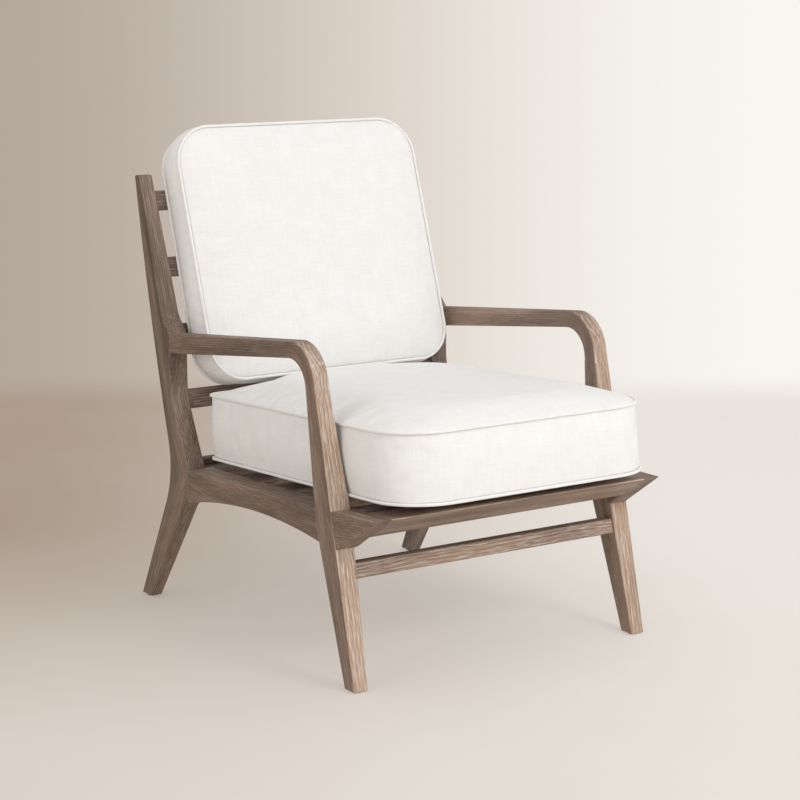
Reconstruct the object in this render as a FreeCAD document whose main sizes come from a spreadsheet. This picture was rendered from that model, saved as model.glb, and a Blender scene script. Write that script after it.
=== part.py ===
"""Wooden lounge armchair with two loose box cushions, as a parametric FreeCAD document.

The chair stands on z = 0 and faces -Y. Each side frame is a rear post, an arm, a front leg and a side
rail in one upright plane. Cross rails and slats join the two side frames, and two boxed cushions lie
on them. Reaches are distances from the middle of the chair along Y, and levels are heights. Left and right
are those of someone who looks at the front of the chair.
"""
import FreeCAD, Part
import math
import os
import Sketcher

Vector = FreeCAD.Vector
Rotation = FreeCAD.Rotation
X_AXIS = Vector(1, 0, 0)
SIDES = {"left": -1, "right": 1}
BACK_SLATS = 4
SEAT_SLATS = 5
CLEAT_SCREWS = 3
DOWEL_SHARES = {"lower": 0.3, "upper": 0.7}
HORN_DOWEL_SHARES = {"front": 0.43, "rear": 0.79}
# Steps of a cushion's crown and boxing, as shares, and how its corners tighten away from the seam
CROWN_SHARES = (0.06, 0.15, 0.3, 0.55, 1.0)
CROWN_POWER = 0.55
BOXING_SHARES = (0.0, 0.25, 0.5, 0.75, 1.0)
RADIUS_SHRINK = 1.6
# Distance in millimetres within which two points count as the same
SAME_POINT = 0.05
PARTS_FOLDER = "parts"

# Driving dimensions in millimetres
DIMENSIONS = {
    "half_width": 325.0,
    "edge_round": 1.6,
    "glide_height": 3.0,
    "glide_diameter": 17.0,
    "glide_pin_diameter": 4.0,
    "glide_pin_length": 12.0,
    "hole_clearance": 0.15,
    "deck_level": 298.8,
    "toe_reach": 343.5,
    "toe_depth": 30.0,
    "toe_thickness": 28.5,
    "leg_seat_depth": 53.2,
    "leg_seat_thickness": 42.0,
    "leg_seat_level": 300.0,
    "leg_rail_level": 249.0,
    "leg_arm_depth": 32.5,
    "arm_joint_drop": 41.0,
    "arm_width": 31.0,
    "arm_seam_reach": 302.5,
    "arm_rear_level": 544.0,
    "arm_rear_depth": 38.0,
    "arm_front_depth": 31.0,
    "arm_outer_radius": 74.0,
    "arm_inner_radius": 52.0,
    "heel_reach": 437.0,
    "heel_depth": 37.0,
    "heel_thickness": 23.0,
    "knee_reach": 296.5,
    "knee_level": 272.3,
    "knee_radius": 170.0,
    "post_rear_radius": 4900.0,
    "post_top_reach": 430.4,
    "post_top_level": 838.5,
    "post_top_depth": 18.0,
    "post_top_thickness": 28.0,
    "post_top_radius": 4.0,
    "post_thickness": 38.5,
    "post_straight_low": 240.0,
    "post_straight_high": 562.0,
    "post_flare_depth": 28.5,
    "post_flare_level": 572.0,
    "post_flare_radius": 55.0,
    "post_waist_level": 423.0,
    "post_waist_radius": 150.0,
    "rail_seam_reach": 239.5,
    "rail_rear_level": 225.0,
    "rail_arch_level": 259.0,
    "rail_thickness": 50.0,
    "leg_flare_drop": 9.0,
    "leg_flare_depth": 22.5,
    "leg_flare_radius": 30.0,
    "front_reach": 395.0,
    "horn_tip_inset": 14.0,
    "horn_width": 46.5,
    "horn_drop": 70.0,
    "front_rail_depth": 77.0,
    "front_rail_foot": 6.7,
    "stretcher_level": 203.5,
    "stretcher_height": 27.0,
    "stretcher_thickness": 20.0,
    "stretcher_setback": 4.0,
    "rear_rail_reach": 280.0,
    "rear_rail_top_level": 298.0,
    "rear_rail_height": 50.0,
    "rear_rail_thickness": 20.0,
    "back_slat_top_level": 808.0,
    "back_slat_setback": 5.7,
    "back_slat_pitch": 125.0,
    "back_slat_height": 38.0,
    "back_slat_thickness": 11.0,
    "low_slat_setback": 3.5,
    "seat_slat_width": 67.0,
    "seat_slat_end_gap": 3.5,
    "seat_slat_thickness": 18.0,
    "seat_slat_recess": 2.5,
    "seat_slat_clearance": 0.4,
    "cleat_width": 18.0,
    "cleat_height": 14.0,
    "cleat_clearance": 0.4,
    "dowel_diameter": 10.0,
    "dowel_length": 50.0,
    "small_dowel_diameter": 8.0,
    "small_dowel_length": 36.0,
    "slat_dowel_diameter": 6.0,
    "slat_dowel_length": 30.0,
    "screw_diameter": 4.0,
    "screw_head_diameter": 8.0,
    "screw_head_height": 2.6,
    "slat_screw_length": 28.0,
    "cleat_screw_length": 38.0,
    "cushion_clearance": 0.4,
    "cover_wall": 1.2,
    "core_clearance": 0.4,
    "welt_diameter": 7.0,
    "welt_clearance": 0.3,
    "seat_side_clearance": 3.0,
    "seat_overhang": 43.5,
    "seat_rear_clearance": 3.0,
    "seat_front_taper": 11.0,
    "seat_front_radius": 98.0,
    "seat_rear_radius": 25.0,
    "seat_boxing": 122.0,
    "seat_bulge": 2.0,
    "seat_top_crown": 31.0,
    "seat_top_crown_reach": 190.0,
    "seat_bottom_crown": 22.5,
    "seat_bottom_crown_reach": 95.0,
    "back_side_clearance": 14.0,
    "back_length": 499.0,
    "back_boxing": 74.0,
    "back_bulge": 2.0,
    "back_top_radius": 80.0,
    "back_bottom_radius": 70.0,
    "back_front_crown": 28.0,
    "back_front_crown_reach": 150.0,
    "back_rear_crown": 3.5,
    "back_rear_crown_reach": 18.0,
    "back_above_seat_welt": 5.1,
}
# Slopes as a change in level or reach for each millimetre, and angles in degrees
SLOPES = {"deck_fall": 0.041, "front_run": 0.236, "arm_rise_run": 0.1046}
ANGLES = {"seat_angle": 2.7, "back_extra_angle": 0.46}

doc = FreeCAD.newDocument("armchair")
sheet = doc.addObject("Spreadsheet::Sheet", "Sizes")
for row, (alias, value) in enumerate({**DIMENSIONS, **SLOPES, **ANGLES}.items(), start=1):
    sheet.set(f"A{row}", alias)
    sheet.set(f"B{row}", str(value))
    sheet.setAlias(f"B{row}", alias)
doc.recompute()

nodes = {}
holes = {}


def cell(alias):
    """Return the expression that reads one driving dimension."""
    return f"Sizes.{alias}"


def number(expression):
    """Return the value of an expression over the sheet as a plain number."""
    value = sheet.evalExpression(str(expression))
    return float(getattr(value, "Value", value))


def size(alias):
    """Return one driving dimension as a plain number."""
    return number(cell(alias))


# Lines that several pieces share, as expressions
def deck(y):
    """Return the level of the seat frame's top plane at a reach."""
    return f"(Sizes.deck_level - Sizes.deck_fall * ({y}))"


def front_line(z):
    """Return the reach of the front legs' front edge at a level."""
    return f"(Sizes.front_run * ({z}) - Sizes.toe_reach)"


def leg_thickness(z):
    """Return the front leg's thickness along X at a level below the seat."""
    gain = "(Sizes.leg_seat_thickness - Sizes.toe_thickness)"
    return f"(Sizes.toe_thickness + {gain} * ({z}) / Sizes.leg_seat_level)"


def post_thickness(z):
    """Return the rear post's thickness along X at a level above its straight stretch."""
    rise = "(Sizes.post_top_level - Sizes.post_straight_high)"
    loss = "(Sizes.post_thickness - Sizes.post_top_thickness)"
    return f"(Sizes.post_thickness - {loss} * max(({z}) - Sizes.post_straight_high; 0) / {rise})"


ARM_JOINT_LEVEL = "(Sizes.arm_rear_level - Sizes.arm_joint_drop)"
LEG_TOP_REACH = front_line(ARM_JOINT_LEVEL)
LEG_TOP_REAR = f"({LEG_TOP_REACH} + Sizes.leg_arm_depth)"
SEAM_TOP_REACH = (
    "((Sizes.front_run * Sizes.deck_level - Sizes.toe_reach + Sizes.leg_seat_depth)"
    " / (1 + Sizes.front_run * Sizes.deck_fall))"
)
SEAM_TOP = (SEAM_TOP_REACH, deck(SEAM_TOP_REACH))
SEAM_LOW = (f"({front_line(cell('leg_rail_level'))} + Sizes.leg_seat_depth)", cell("leg_rail_level"))
HORN_TIP = ("(-Sizes.front_reach)", deck("(-Sizes.front_reach)"))
HORN_LOW_LEVEL = f"({HORN_TIP[1]} - Sizes.horn_drop)"
HORN_LOW = (front_line(HORN_LOW_LEVEL), HORN_LOW_LEVEL)
HORN_LEG_REACH = (
    "((Sizes.front_run * Sizes.deck_level - Sizes.toe_reach) / (1 + Sizes.front_run * Sizes.deck_fall))"
)
BEVEL_RUN = f"(({HORN_LOW[0]} - {HORN_TIP[0]}) / Sizes.horn_drop)"
RAIL_REAR_REACH = "(Sizes.front_rail_depth - Sizes.front_reach)"
RAIL_LOW_REACH = f"({RAIL_REAR_REACH} - Sizes.front_rail_foot)"
FRONT_RAIL_HALF = "(Sizes.half_width - Sizes.horn_width)"
POST_INNER = "(Sizes.half_width - Sizes.post_thickness)"
RAIL_INNER = "(Sizes.half_width - Sizes.rail_thickness)"
DECK_TILT = "atan(Sizes.deck_fall)"
UNDER_SLATS = f"(Sizes.seat_slat_recess + Sizes.seat_slat_thickness / cos({DECK_TILT}))"
FIRST_SLAT_REACH = f"({RAIL_REAR_REACH} + Sizes.seat_slat_end_gap)"
LAST_SLAT_REACH = "(Sizes.rear_rail_reach - Sizes.seat_slat_end_gap - Sizes.seat_slat_width)"
SEAT_SLAT_PITCH = f"(({LAST_SLAT_REACH} - {FIRST_SLAT_REACH}) / {SEAT_SLATS - 1})"


def bevel(y):
    """Return the level of the sloping front face of the horns and the front rail at a reach."""
    return f"({HORN_TIP[1]} - (({y}) - {HORN_TIP[0]}) / {BEVEL_RUN})"


FLARE_REACH = "(Sizes.arm_seam_reach + Sizes.post_flare_depth)"
POST_TOP_FRONT = "(Sizes.post_top_reach - Sizes.post_top_depth)"
POST_RUN = f"(({POST_TOP_FRONT} - {FLARE_REACH}) / (Sizes.post_top_level - Sizes.post_flare_level))"
BACK_ANGLE = f"(atan({POST_RUN}) + Sizes.back_extra_angle * 1 deg)"
SLAT_TOP_DROP = "(Sizes.post_top_level - Sizes.back_slat_top_level)"
SLAT_TOP_REACH = f"({POST_TOP_FRONT} + Sizes.back_slat_setback - {POST_RUN} * {SLAT_TOP_DROP})"
LOW_SLAT_REACH = "(Sizes.arm_seam_reach + Sizes.low_slat_setback)"


def slat_front(z):
    """Return the reach of the plane in which the upper back slats have their front faces."""
    return f"({SLAT_TOP_REACH} - tan({BACK_ANGLE}) * (Sizes.back_slat_top_level - ({z})))"


# Sketches, pads and cuts
def origin_plane(body, role):
    """Return one origin plane of a body."""
    return next(item for item in body.Origin.OriginFeatures if item.Role == role)


def arc_between(start, end, radius, bulge):
    """Return a circle arc between two sketch points that bulges toward +y or -y of the sketch."""
    chord = end - start
    middle = (start + end) * 0.5
    normal = Vector(-chord.y, chord.x, 0).normalize()
    if normal.y * bulge < 0:
        normal = normal * -1
    rise = radius - math.sqrt(radius ** 2 - (chord.Length / 2) ** 2)
    return Part.Arc(start, middle + normal * rise, end)


def outline(body, role, corners, offset="0", arcs=None):
    """Draw a closed outline whose corners are pairs of expressions, with arcs as {edge: (radius, bulge)}."""
    arcs = arcs or {}
    sketch = body.newObject("Sketcher::SketchObject", f"{body.Name}_{role[:2]}_outline")
    sketch.AttachmentSupport = [(origin_plane(body, role), "")]
    sketch.MapMode = "FlatFace"
    sketch.setExpression("AttachmentOffset.Base.z", offset)
    points = [Vector(number(across), number(up), 0) for across, up in corners]
    count = len(points)
    for index, start in enumerate(points):
        end = points[(index + 1) % count]
        if index in arcs:
            radius, bulge = arcs[index]
            sketch.addGeometry(arc_between(start, end, number(radius), bulge), False)
        else:
            sketch.addGeometry(Part.LineSegment(start, end), False)
    ends = [ordered_ends(sketch, index, points[index]) for index in range(count)]
    for index in range(count):
        after = (index + 1) % count
        sketch.addConstraint(Sketcher.Constraint("Coincident", index, ends[index][1], after, ends[after][0]))
    for index, (across, up) in enumerate(corners):
        start = ends[index][0]
        for kind, expression in (("DistanceX", across), ("DistanceY", up)):
            row = sketch.addConstraint(Sketcher.Constraint(kind, index, start, number(expression)))
            sketch.setExpression(f"Constraints[{row}]", expression)
    for index, (radius, _) in arcs.items():
        row = sketch.addConstraint(Sketcher.Constraint("Radius", index, number(radius)))
        sketch.setExpression(f"Constraints[{row}]", radius)
    return sketch


def ordered_ends(sketch, index, start):
    """Return the point numbers of an edge's start and end, seen along the outline."""
    first = sketch.getPoint(index, 1)
    return (1, 2) if first.distanceToPoint(start) < SAME_POINT else (2, 1)


def pad(body, sketch, length, toward_minus=False):
    """Pad a sketch by a length given as an expression."""
    feature = body.newObject("PartDesign::Pad", f"{body.Name}_pad")
    feature.Profile = sketch
    feature.Reversed = toward_minus
    feature.setExpression("Length", length)
    sketch.Visibility = False
    doc.recompute()
    return feature


def cut_through(body, sketch):
    """Remove all of a body that lies behind or before a sketch's outline."""
    feature = body.newObject("PartDesign::Pocket", f"{body.Name}_{sketch.Name}_cut")
    feature.Profile = sketch
    feature.Type = "ThroughAll"
    feature.SideType = "Symmetric"
    doc.recompute()
    return feature


def is_at(edge, corner):
    """Tell whether an edge runs along X through a corner of the side view."""
    reach, level = number(corner[0]), number(corner[1])
    return all(math.hypot(end.Point.y - reach, end.Point.z - level) < SAME_POINT for end in edge.Vertexes)


def round_corner(body, corner, radius):
    """Round the corner of a side view outline with a radius given as an expression."""
    base = body.Tip
    edges = [f"Edge{i}" for i, edge in enumerate(base.Shape.Edges, start=1) if is_at(edge, corner)]
    fillet(body, base, edges, radius)


def fillet(body, base, edges, radius):
    """Fillet named edges of a body's last feature."""
    feature = body.newObject("PartDesign::Fillet", f"{body.Name}_fillet")
    feature.Base = (base, edges)
    feature.setExpression("Radius", radius)
    doc.recompute()
    return feature


def on_seam(point, seams):
    """Tell whether a point of the side view lies on one of the glued seams."""
    for start, end in seams:
        low = Vector(0, number(start[0]), number(start[1]))
        high = Vector(0, number(end[0]), number(end[1]))
        flat = Vector(0, point.y, point.z)
        if flat.distanceToLine(low, high - low) < SAME_POINT and (flat - low).Length < (high - low).Length:
            return True
    return False


def ends_at(edge, corners):
    """Tell whether an edge ends on the line along X through one of some corners of the side view."""
    for vertex in edge.Vertexes:
        for across, up in corners:
            if math.hypot(vertex.Point.y - number(across), vertex.Point.z - number(up)) < SAME_POINT:
                return True
    return False


def ease_edges(body, seams, sharp_corners=(), sharp_outside=False):
    """Round the long edges of a side piece, except where another piece is glued on.

    Edges of the inner face that end at one of the sharp corners stay sharp too, because they run into a
    seam at a slant. Those of the outer face stay sharp as well where sharp_outside is set.
    """
    base = body.Tip
    names = []
    for index, edge in enumerate(base.Shape.Edges, start=1):
        middle = edge.valueAt((edge.FirstParameter + edge.LastParameter) / 2)
        spread = abs(edge.Vertexes[0].Point.x - edge.Vertexes[-1].Point.x)
        runs_along_outline = spread < edge.Length * 0.5
        inner = abs(middle.x) < size("half_width") - 0.1
        if not runs_along_outline or edge.Length < 4 or not is_sharp(base.Shape, edge):
            continue
        if on_seam(middle, seams) or ((inner or sharp_outside) and ends_at(edge, sharp_corners)):
            continue
        names.append(f"Edge{index}")
    fillet(body, base, names, cell("edge_round"))


def is_sharp(shape, edge):
    """Tell whether the two faces that meet at an edge turn by more than 30 degrees."""
    faces = [face for face in shape.Faces if any(edge.isSame(other) for other in face.Edges)]
    if len(faces) != 2:
        return False
    point = edge.valueAt((edge.FirstParameter + edge.LastParameter) / 2)
    normals = [face.normalAt(*face.Surface.parameter(point)) for face in faces]
    return normals[0].getAngle(normals[1]) > math.radians(30)


def edges_along_x(shape):
    """Return the numbers of the edges that run along X, or nearly so."""
    found = []
    for index, edge in enumerate(shape.Edges, start=1):
        if abs(edge.Vertexes[0].Point.x - edge.Vertexes[-1].Point.x) > edge.Length * 0.9:
            found.append(index)
    return found


def side_body(label, sign, corners, thickness, arcs=None):
    """Pad a side view outline inward from the outer face of one side frame."""
    body = doc.addObject("PartDesign::Body", label)
    sketch = outline(body, "YZ_Plane", corners, f"{sign} * Sizes.half_width", arcs)
    pad(body, sketch, thickness, toward_minus=sign > 0)
    return body


def mirrored(sign, corners):
    """Give front view corners, drawn for the +X side, their side."""
    return [(f"({sign} * ({across}))", up) for across, up in corners]


# Bars, dowels and screws from plain primitives
def place(item, x, y, z, rotation=None):
    """Put an object at a point given as expressions, with a fixed turn."""
    if rotation is not None:
        item.Placement = FreeCAD.Placement(Vector(), rotation)
    for axis, expression in (("x", x), ("y", y), ("z", z)):
        item.setExpression(f"Placement.Base.{axis}", expression)


def box(label, length, width, height, corner, tilt=None):
    """Add a box with its sizes and its low corner as expressions, tilted about X by an expression."""
    item = doc.addObject("Part::Box", label)
    for name, expression in (("Length", length), ("Width", width), ("Height", height)):
        item.setExpression(name, expression)
    place(item, *corner, Rotation(X_AXIS, 1) if tilt else None)
    if tilt:
        item.setExpression("Placement.Rotation.Angle", tilt)
    return item


def rod(label, diameter, length, middle, axis):
    """Add a cylinder by its middle point along one axis of the chair."""
    turns = {"x": Rotation(Vector(0, 1, 0), 90), "y": Rotation(X_AXIS, -90), "z": Rotation()}
    item = doc.addObject("Part::Cylinder", label)
    item.setExpression("Radius", f"({diameter}) / 2")
    item.setExpression("Height", length)
    start = list(middle)
    spot = "xyz".index(axis)
    start[spot] = f"({middle[spot]}) - ({length}) / 2"
    place(item, *start, turns[axis])
    return item


def drill(owner, tool):
    """Remember a hole that a piece gets when it is finished."""
    holes.setdefault(owner, []).append(tool)


def dowel(label, kind, middle, axis, owners):
    """Add one dowel across a seam and a slightly larger hole for it in both pieces."""
    diameter, length = cell(f"{kind}_diameter"), cell(f"{kind}_length")
    gap = "2 * Sizes.hole_clearance"
    pin = rod(label, diameter, length, middle, axis)
    hole = rod(f"{label}_hole", f"{diameter} + {gap}", f"{length} + {gap}", middle, axis)
    for owner in owners:
        drill(owner, hole)
    return pin


def dowel_levels(low, high):
    """Return the names and levels of the two dowels of a seam between two levels."""
    return [(name, f"({low} + ({high} - {low}) * {share})") for name, share in DOWEL_SHARES.items()]


def group(label, items):
    """Gather identical small pieces as separate solids of one node."""
    compound = doc.addObject("Part::Compound", label)
    compound.Links = items
    nodes[label] = compound


def screw(label, length, head_point, rotation, grow="0"):
    """Add a countersunk screw that points along its own -Z from its head."""
    head = doc.addObject("Part::Cone", f"{label}_head")
    head.setExpression("Radius1", f"Sizes.screw_diameter / 2 + {grow}")
    head.setExpression("Radius2", f"Sizes.screw_head_diameter / 2 + {grow}")
    head.setExpression("Height", cell("screw_head_height"))
    shank = doc.addObject("Part::Cylinder", f"{label}_shank")
    shank.setExpression("Radius", f"Sizes.screw_diameter / 2 + {grow}")
    shank.setExpression("Height", f"{length} - Sizes.screw_head_height + {grow}")
    drop = doc.addObject("Part::Fuse", label)
    head.setExpression("Placement.Base.z", "-Sizes.screw_head_height")
    shank.setExpression("Placement.Base.z", f"-({length}) - {grow}")
    drop.Base = head
    drop.Tool = shank
    place(drop, *head_point, rotation)
    return drop


def finish(label, raw):
    """Drill a piece's holes and make it a node."""
    tools = holes.get(label, [])
    if not tools:
        nodes[label] = raw
        return
    bores = doc.addObject("Part::Compound", f"{label}_bores")
    bores.Links = tools
    drilled = doc.addObject("Part::Cut", f"{label}_drilled")
    drilled.Base = raw
    drilled.Tool = bores
    nodes[label] = drilled


# Side frames
def front_leg(side, sign):
    """Front leg from the floor to the arm, thickest at the seat."""
    foot = cell("glide_height")
    corners = [
        (front_line(foot), foot),
        (LEG_TOP_REACH, ARM_JOINT_LEVEL),
        (LEG_TOP_REAR, ARM_JOINT_LEVEL),
        SEAM_TOP,
        SEAM_LOW,
        (f"({front_line(foot)} + Sizes.toe_depth)", foot),
    ]
    body = side_body(f"{side}_front_leg_blank", sign, corners, cell("leg_seat_thickness"))
    beyond = "(Sizes.half_width - Sizes.leg_seat_thickness - 5)"
    taper = [
        ("(Sizes.half_width - Sizes.toe_thickness)", "0"),
        ("(Sizes.half_width - Sizes.leg_seat_thickness)", cell("leg_seat_level")),
        ("(Sizes.half_width - Sizes.arm_width)", ARM_JOINT_LEVEL),
        (beyond, ARM_JOINT_LEVEL),
        (beyond, "0"),
    ]
    cut_through(body, outline(body, "XZ_Plane", mirrored(sign, taper)))
    joint = (corners[1], corners[2])
    ease_edges(body, [(SEAM_TOP, SEAM_LOW), joint], sharp_corners=(SEAM_TOP, SEAM_LOW, corners[2]))
    return body


def rear_post(side, sign):
    """Rear post and raked rear leg in one piece, with a bend at the seat and a flare at the arm."""
    foot = cell("glide_height")
    heel = f"(Sizes.heel_reach - (Sizes.heel_reach - Sizes.knee_reach) * {foot} / Sizes.knee_level)"
    flare_low_reach = "(Sizes.rail_seam_reach + Sizes.leg_flare_depth)"
    flare_low = (flare_low_reach, "(Sizes.rail_rear_level - Sizes.leg_flare_drop)")
    run = f"((Sizes.heel_reach - Sizes.heel_depth - {flare_low[0]}) / {flare_low[1]})"
    knee = (cell("knee_reach"), cell("knee_level"))
    top_rear = (cell("post_top_reach"), cell("post_top_level"))
    top_front = (POST_TOP_FRONT, cell("post_top_level"))
    flare = (FLARE_REACH, cell("post_flare_level"))
    arm_top = (cell("arm_seam_reach"), cell("arm_rear_level"))
    arm_low = (cell("arm_seam_reach"), "(Sizes.arm_rear_level - Sizes.arm_rear_depth)")
    waist = (cell("arm_seam_reach"), cell("post_waist_level"))
    seam_top = (cell("rail_seam_reach"), deck(cell("rail_seam_reach")))
    seam_low = (cell("rail_seam_reach"), cell("rail_rear_level"))
    toe = (f"(Sizes.heel_reach - Sizes.heel_depth - {run} * {foot})", foot)
    upper = [(heel, foot), knee, top_rear, top_front, flare, arm_top, waist]
    corners = upper + [seam_top, seam_low, flare_low, toe]
    curve = {1: (cell("post_rear_radius"), -1)}
    body = side_body(f"{side}_rear_post_blank", sign, corners, cell("post_thickness"), curve)
    for corner, radius in (
        (knee, "knee_radius"),
        (top_rear, "post_top_radius"),
        (top_front, "post_top_radius"),
        (flare, "post_flare_radius"),
        (waist, "post_waist_radius"),
        (flare_low, "leg_flare_radius"),
    ):
        round_corner(body, corner, cell(radius))
    inner = "(Sizes.half_width - Sizes.post_thickness)"
    beyond = f"({inner} - 5)"
    taper = [
        ("(Sizes.half_width - Sizes.heel_thickness)", "0"),
        (inner, cell("post_straight_low")),
        (inner, cell("post_straight_high")),
        ("(Sizes.half_width - Sizes.post_top_thickness)", cell("post_top_level")),
        (beyond, cell("post_top_level")),
        (beyond, "0"),
    ]
    cut_through(body, outline(body, "XZ_Plane", mirrored(sign, taper)))
    ease_edges(body, [(seam_top, seam_low), (arm_top, arm_low)])
    return body


def arm(side, sign):
    """Arm with its bend down to the front leg."""
    top_level = (
        "((Sizes.arm_rear_level + Sizes.arm_rise_run * (Sizes.arm_seam_reach + Sizes.toe_reach))"
        " / (1 + Sizes.arm_rise_run * Sizes.front_run))"
    )
    inner_level = f"({top_level} - Sizes.arm_front_depth)"
    lean = f"(({LEG_TOP_REAR} - {SEAM_TOP[0]}) / ({ARM_JOINT_LEVEL} - {SEAM_TOP[1]}))"
    outer_corner = (front_line(top_level), top_level)
    inner_corner = (f"({LEG_TOP_REAR} + {lean} * ({inner_level} - {ARM_JOINT_LEVEL}))", inner_level)
    corners = [
        (cell("arm_seam_reach"), cell("arm_rear_level")),
        outer_corner,
        (LEG_TOP_REACH, ARM_JOINT_LEVEL),
        (LEG_TOP_REAR, ARM_JOINT_LEVEL),
        inner_corner,
        (cell("arm_seam_reach"), "(Sizes.arm_rear_level - Sizes.arm_rear_depth)"),
    ]
    body = side_body(f"{side}_arm_blank", sign, corners, cell("arm_width"))
    round_corner(body, outer_corner, cell("arm_outer_radius"))
    round_corner(body, inner_corner, cell("arm_inner_radius"))
    ease_edges(body, [(corners[0], corners[5]), (corners[2], corners[3])])
    return body


def side_rail(side, sign):
    """Side rail with an arched underside between the front leg and the rear post."""
    rear_top = (cell("rail_seam_reach"), deck(cell("rail_seam_reach")))
    rear_low = (cell("rail_seam_reach"), cell("rail_rear_level"))
    sag = f"(Sizes.rail_arch_level - (Sizes.rail_rear_level + Sizes.leg_rail_level) / 2)"
    span = f"(Sizes.rail_seam_reach - {SEAM_LOW[0]})"
    drop = "(Sizes.leg_rail_level - Sizes.rail_rear_level)"
    radius = f"((({span}) ^ 2 + {drop} ^ 2) / 4 + {sag} ^ 2) / (2 * {sag})"
    corners = [rear_top, SEAM_TOP, SEAM_LOW, rear_low]
    body = side_body(f"{side}_side_rail_blank", sign, corners, cell("rail_thickness"), arcs={2: (radius, 1)})
    ease_edges(body, [(rear_top, rear_low), (SEAM_TOP, SEAM_LOW)], (SEAM_LOW, rear_low), sharp_outside=True)
    return body


def horn(side, sign):
    """Wedge that carries the front rail forward of the front leg, narrower at its tip."""
    leg_top = (HORN_LEG_REACH, deck(HORN_LEG_REACH))
    body = side_body(f"{side}_horn_blank", sign, [leg_top, HORN_TIP, HORN_LOW], cell("horn_width"))
    trim = [
        ("Sizes.half_width", HORN_LEG_REACH),
        ("(Sizes.half_width - Sizes.horn_tip_inset)", HORN_TIP[0]),
        ("(Sizes.half_width + 5)", HORN_TIP[0]),
        ("(Sizes.half_width + 5)", HORN_LEG_REACH),
    ]
    cut_through(body, outline(body, "XY_Plane", mirrored(sign, trim)))
    ease_edges(body, [(leg_top, HORN_LOW)])
    return body


def add_side(side, sign):
    """Add one side frame with the dowels of its own seams."""
    leg, post, rail = f"{side}_front_leg", f"{side}_rear_post", f"{side}_side_rail"
    horn_name, arm_name = f"{side}_horn", f"{side}_arm"
    legs[side] = front_leg(side, sign)
    posts[side] = rear_post(side, sign)
    arms[side] = arm(side, sign)
    rails[side] = side_rail(side, sign)
    horns[side] = horn(side, sign)
    frame_x = f"({sign} * (Sizes.half_width - Sizes.post_thickness / 2))"
    arm_x = f"({sign} * (Sizes.half_width - Sizes.arm_width / 2))"
    horn_x = f"({sign} * (Sizes.half_width - Sizes.horn_width / 2))"
    rail_seam = cell("rail_seam_reach")
    for name, level in dowel_levels(cell("rail_rear_level"), deck(rail_seam)):
        pin = dowel(f"{rail}_rear_dowel_{name}", "dowel", (frame_x, rail_seam, level), "y", [rail, post])
        rail_dowels.append(pin)
    for name, level in dowel_levels(SEAM_LOW[1], SEAM_TOP[1]):
        reach = f"({front_line(level)} + Sizes.leg_seat_depth)"
        pin = dowel(f"{rail}_front_dowel_{name}", "dowel", (frame_x, reach, level), "y", [rail, leg])
        rail_dowels.append(pin)
    arm_low = "(Sizes.arm_rear_level - Sizes.arm_rear_depth)"
    for name, level in dowel_levels(arm_low, cell("arm_rear_level")):
        middle = (arm_x, cell("arm_seam_reach"), level)
        pin = dowel(f"{arm_name}_rear_dowel_{name}", "small_dowel", middle, "y", [arm_name, post])
        arm_dowels.append(pin)
    joint = (arm_x, f"({LEG_TOP_REACH} + Sizes.leg_arm_depth / 2)", ARM_JOINT_LEVEL)
    arm_dowels.append(dowel(f"{arm_name}_front_dowel", "small_dowel", joint, "z", [arm_name, leg]))
    for name, level in dowel_levels(HORN_LOW_LEVEL, deck(HORN_LEG_REACH)):
        middle = (horn_x, front_line(level), level)
        pin = dowel(f"{horn_name}_leg_dowel_{name}", "small_dowel", middle, "y", [horn_name, leg])
        horn_dowels.append(pin)
    for name, share in HORN_DOWEL_SHARES.items():
        reach = f"({HORN_TIP[0]} + Sizes.front_rail_depth * {share})"
        middle = (f"({sign} * {FRONT_RAIL_HALF})", reach, f"(({deck(reach)} + {bevel(reach)}) / 2)")
        pin = dowel(f"{horn_name}_rail_dowel_{name}", "small_dowel", middle, "x", [horn_name, "front_rail"])
        horn_dowels.append(pin)


# Pieces across the chair
def front_rail():
    """Front rail with a sloping front face in line with the horns."""
    low_level = bevel(RAIL_LOW_REACH)
    corners = [
        (RAIL_REAR_REACH, deck(RAIL_REAR_REACH)),
        HORN_TIP,
        (RAIL_LOW_REACH, low_level),
        (RAIL_REAR_REACH, low_level),
    ]
    body = doc.addObject("PartDesign::Body", "front_rail_blank")
    sketch = outline(body, "YZ_Plane", corners, f"-{FRONT_RAIL_HALF}")
    pad(body, sketch, f"2 * {FRONT_RAIL_HALF}")
    edges = [f"Edge{index}" for index in edges_along_x(body.Tip.Shape)]
    fillet(body, body.Tip, edges, cell("edge_round"))
    return body


def trimmed(label, bar, first, second):
    """Cut a bar's ends to the inner faces of the two pieces that it stands between."""
    for tool in (first, second):
        cut = doc.addObject("Part::Cut", f"{label}_{tool.Name}_trim")
        cut.Base = bar
        cut.Tool = tool
        bar = cut
    return bar


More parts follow.
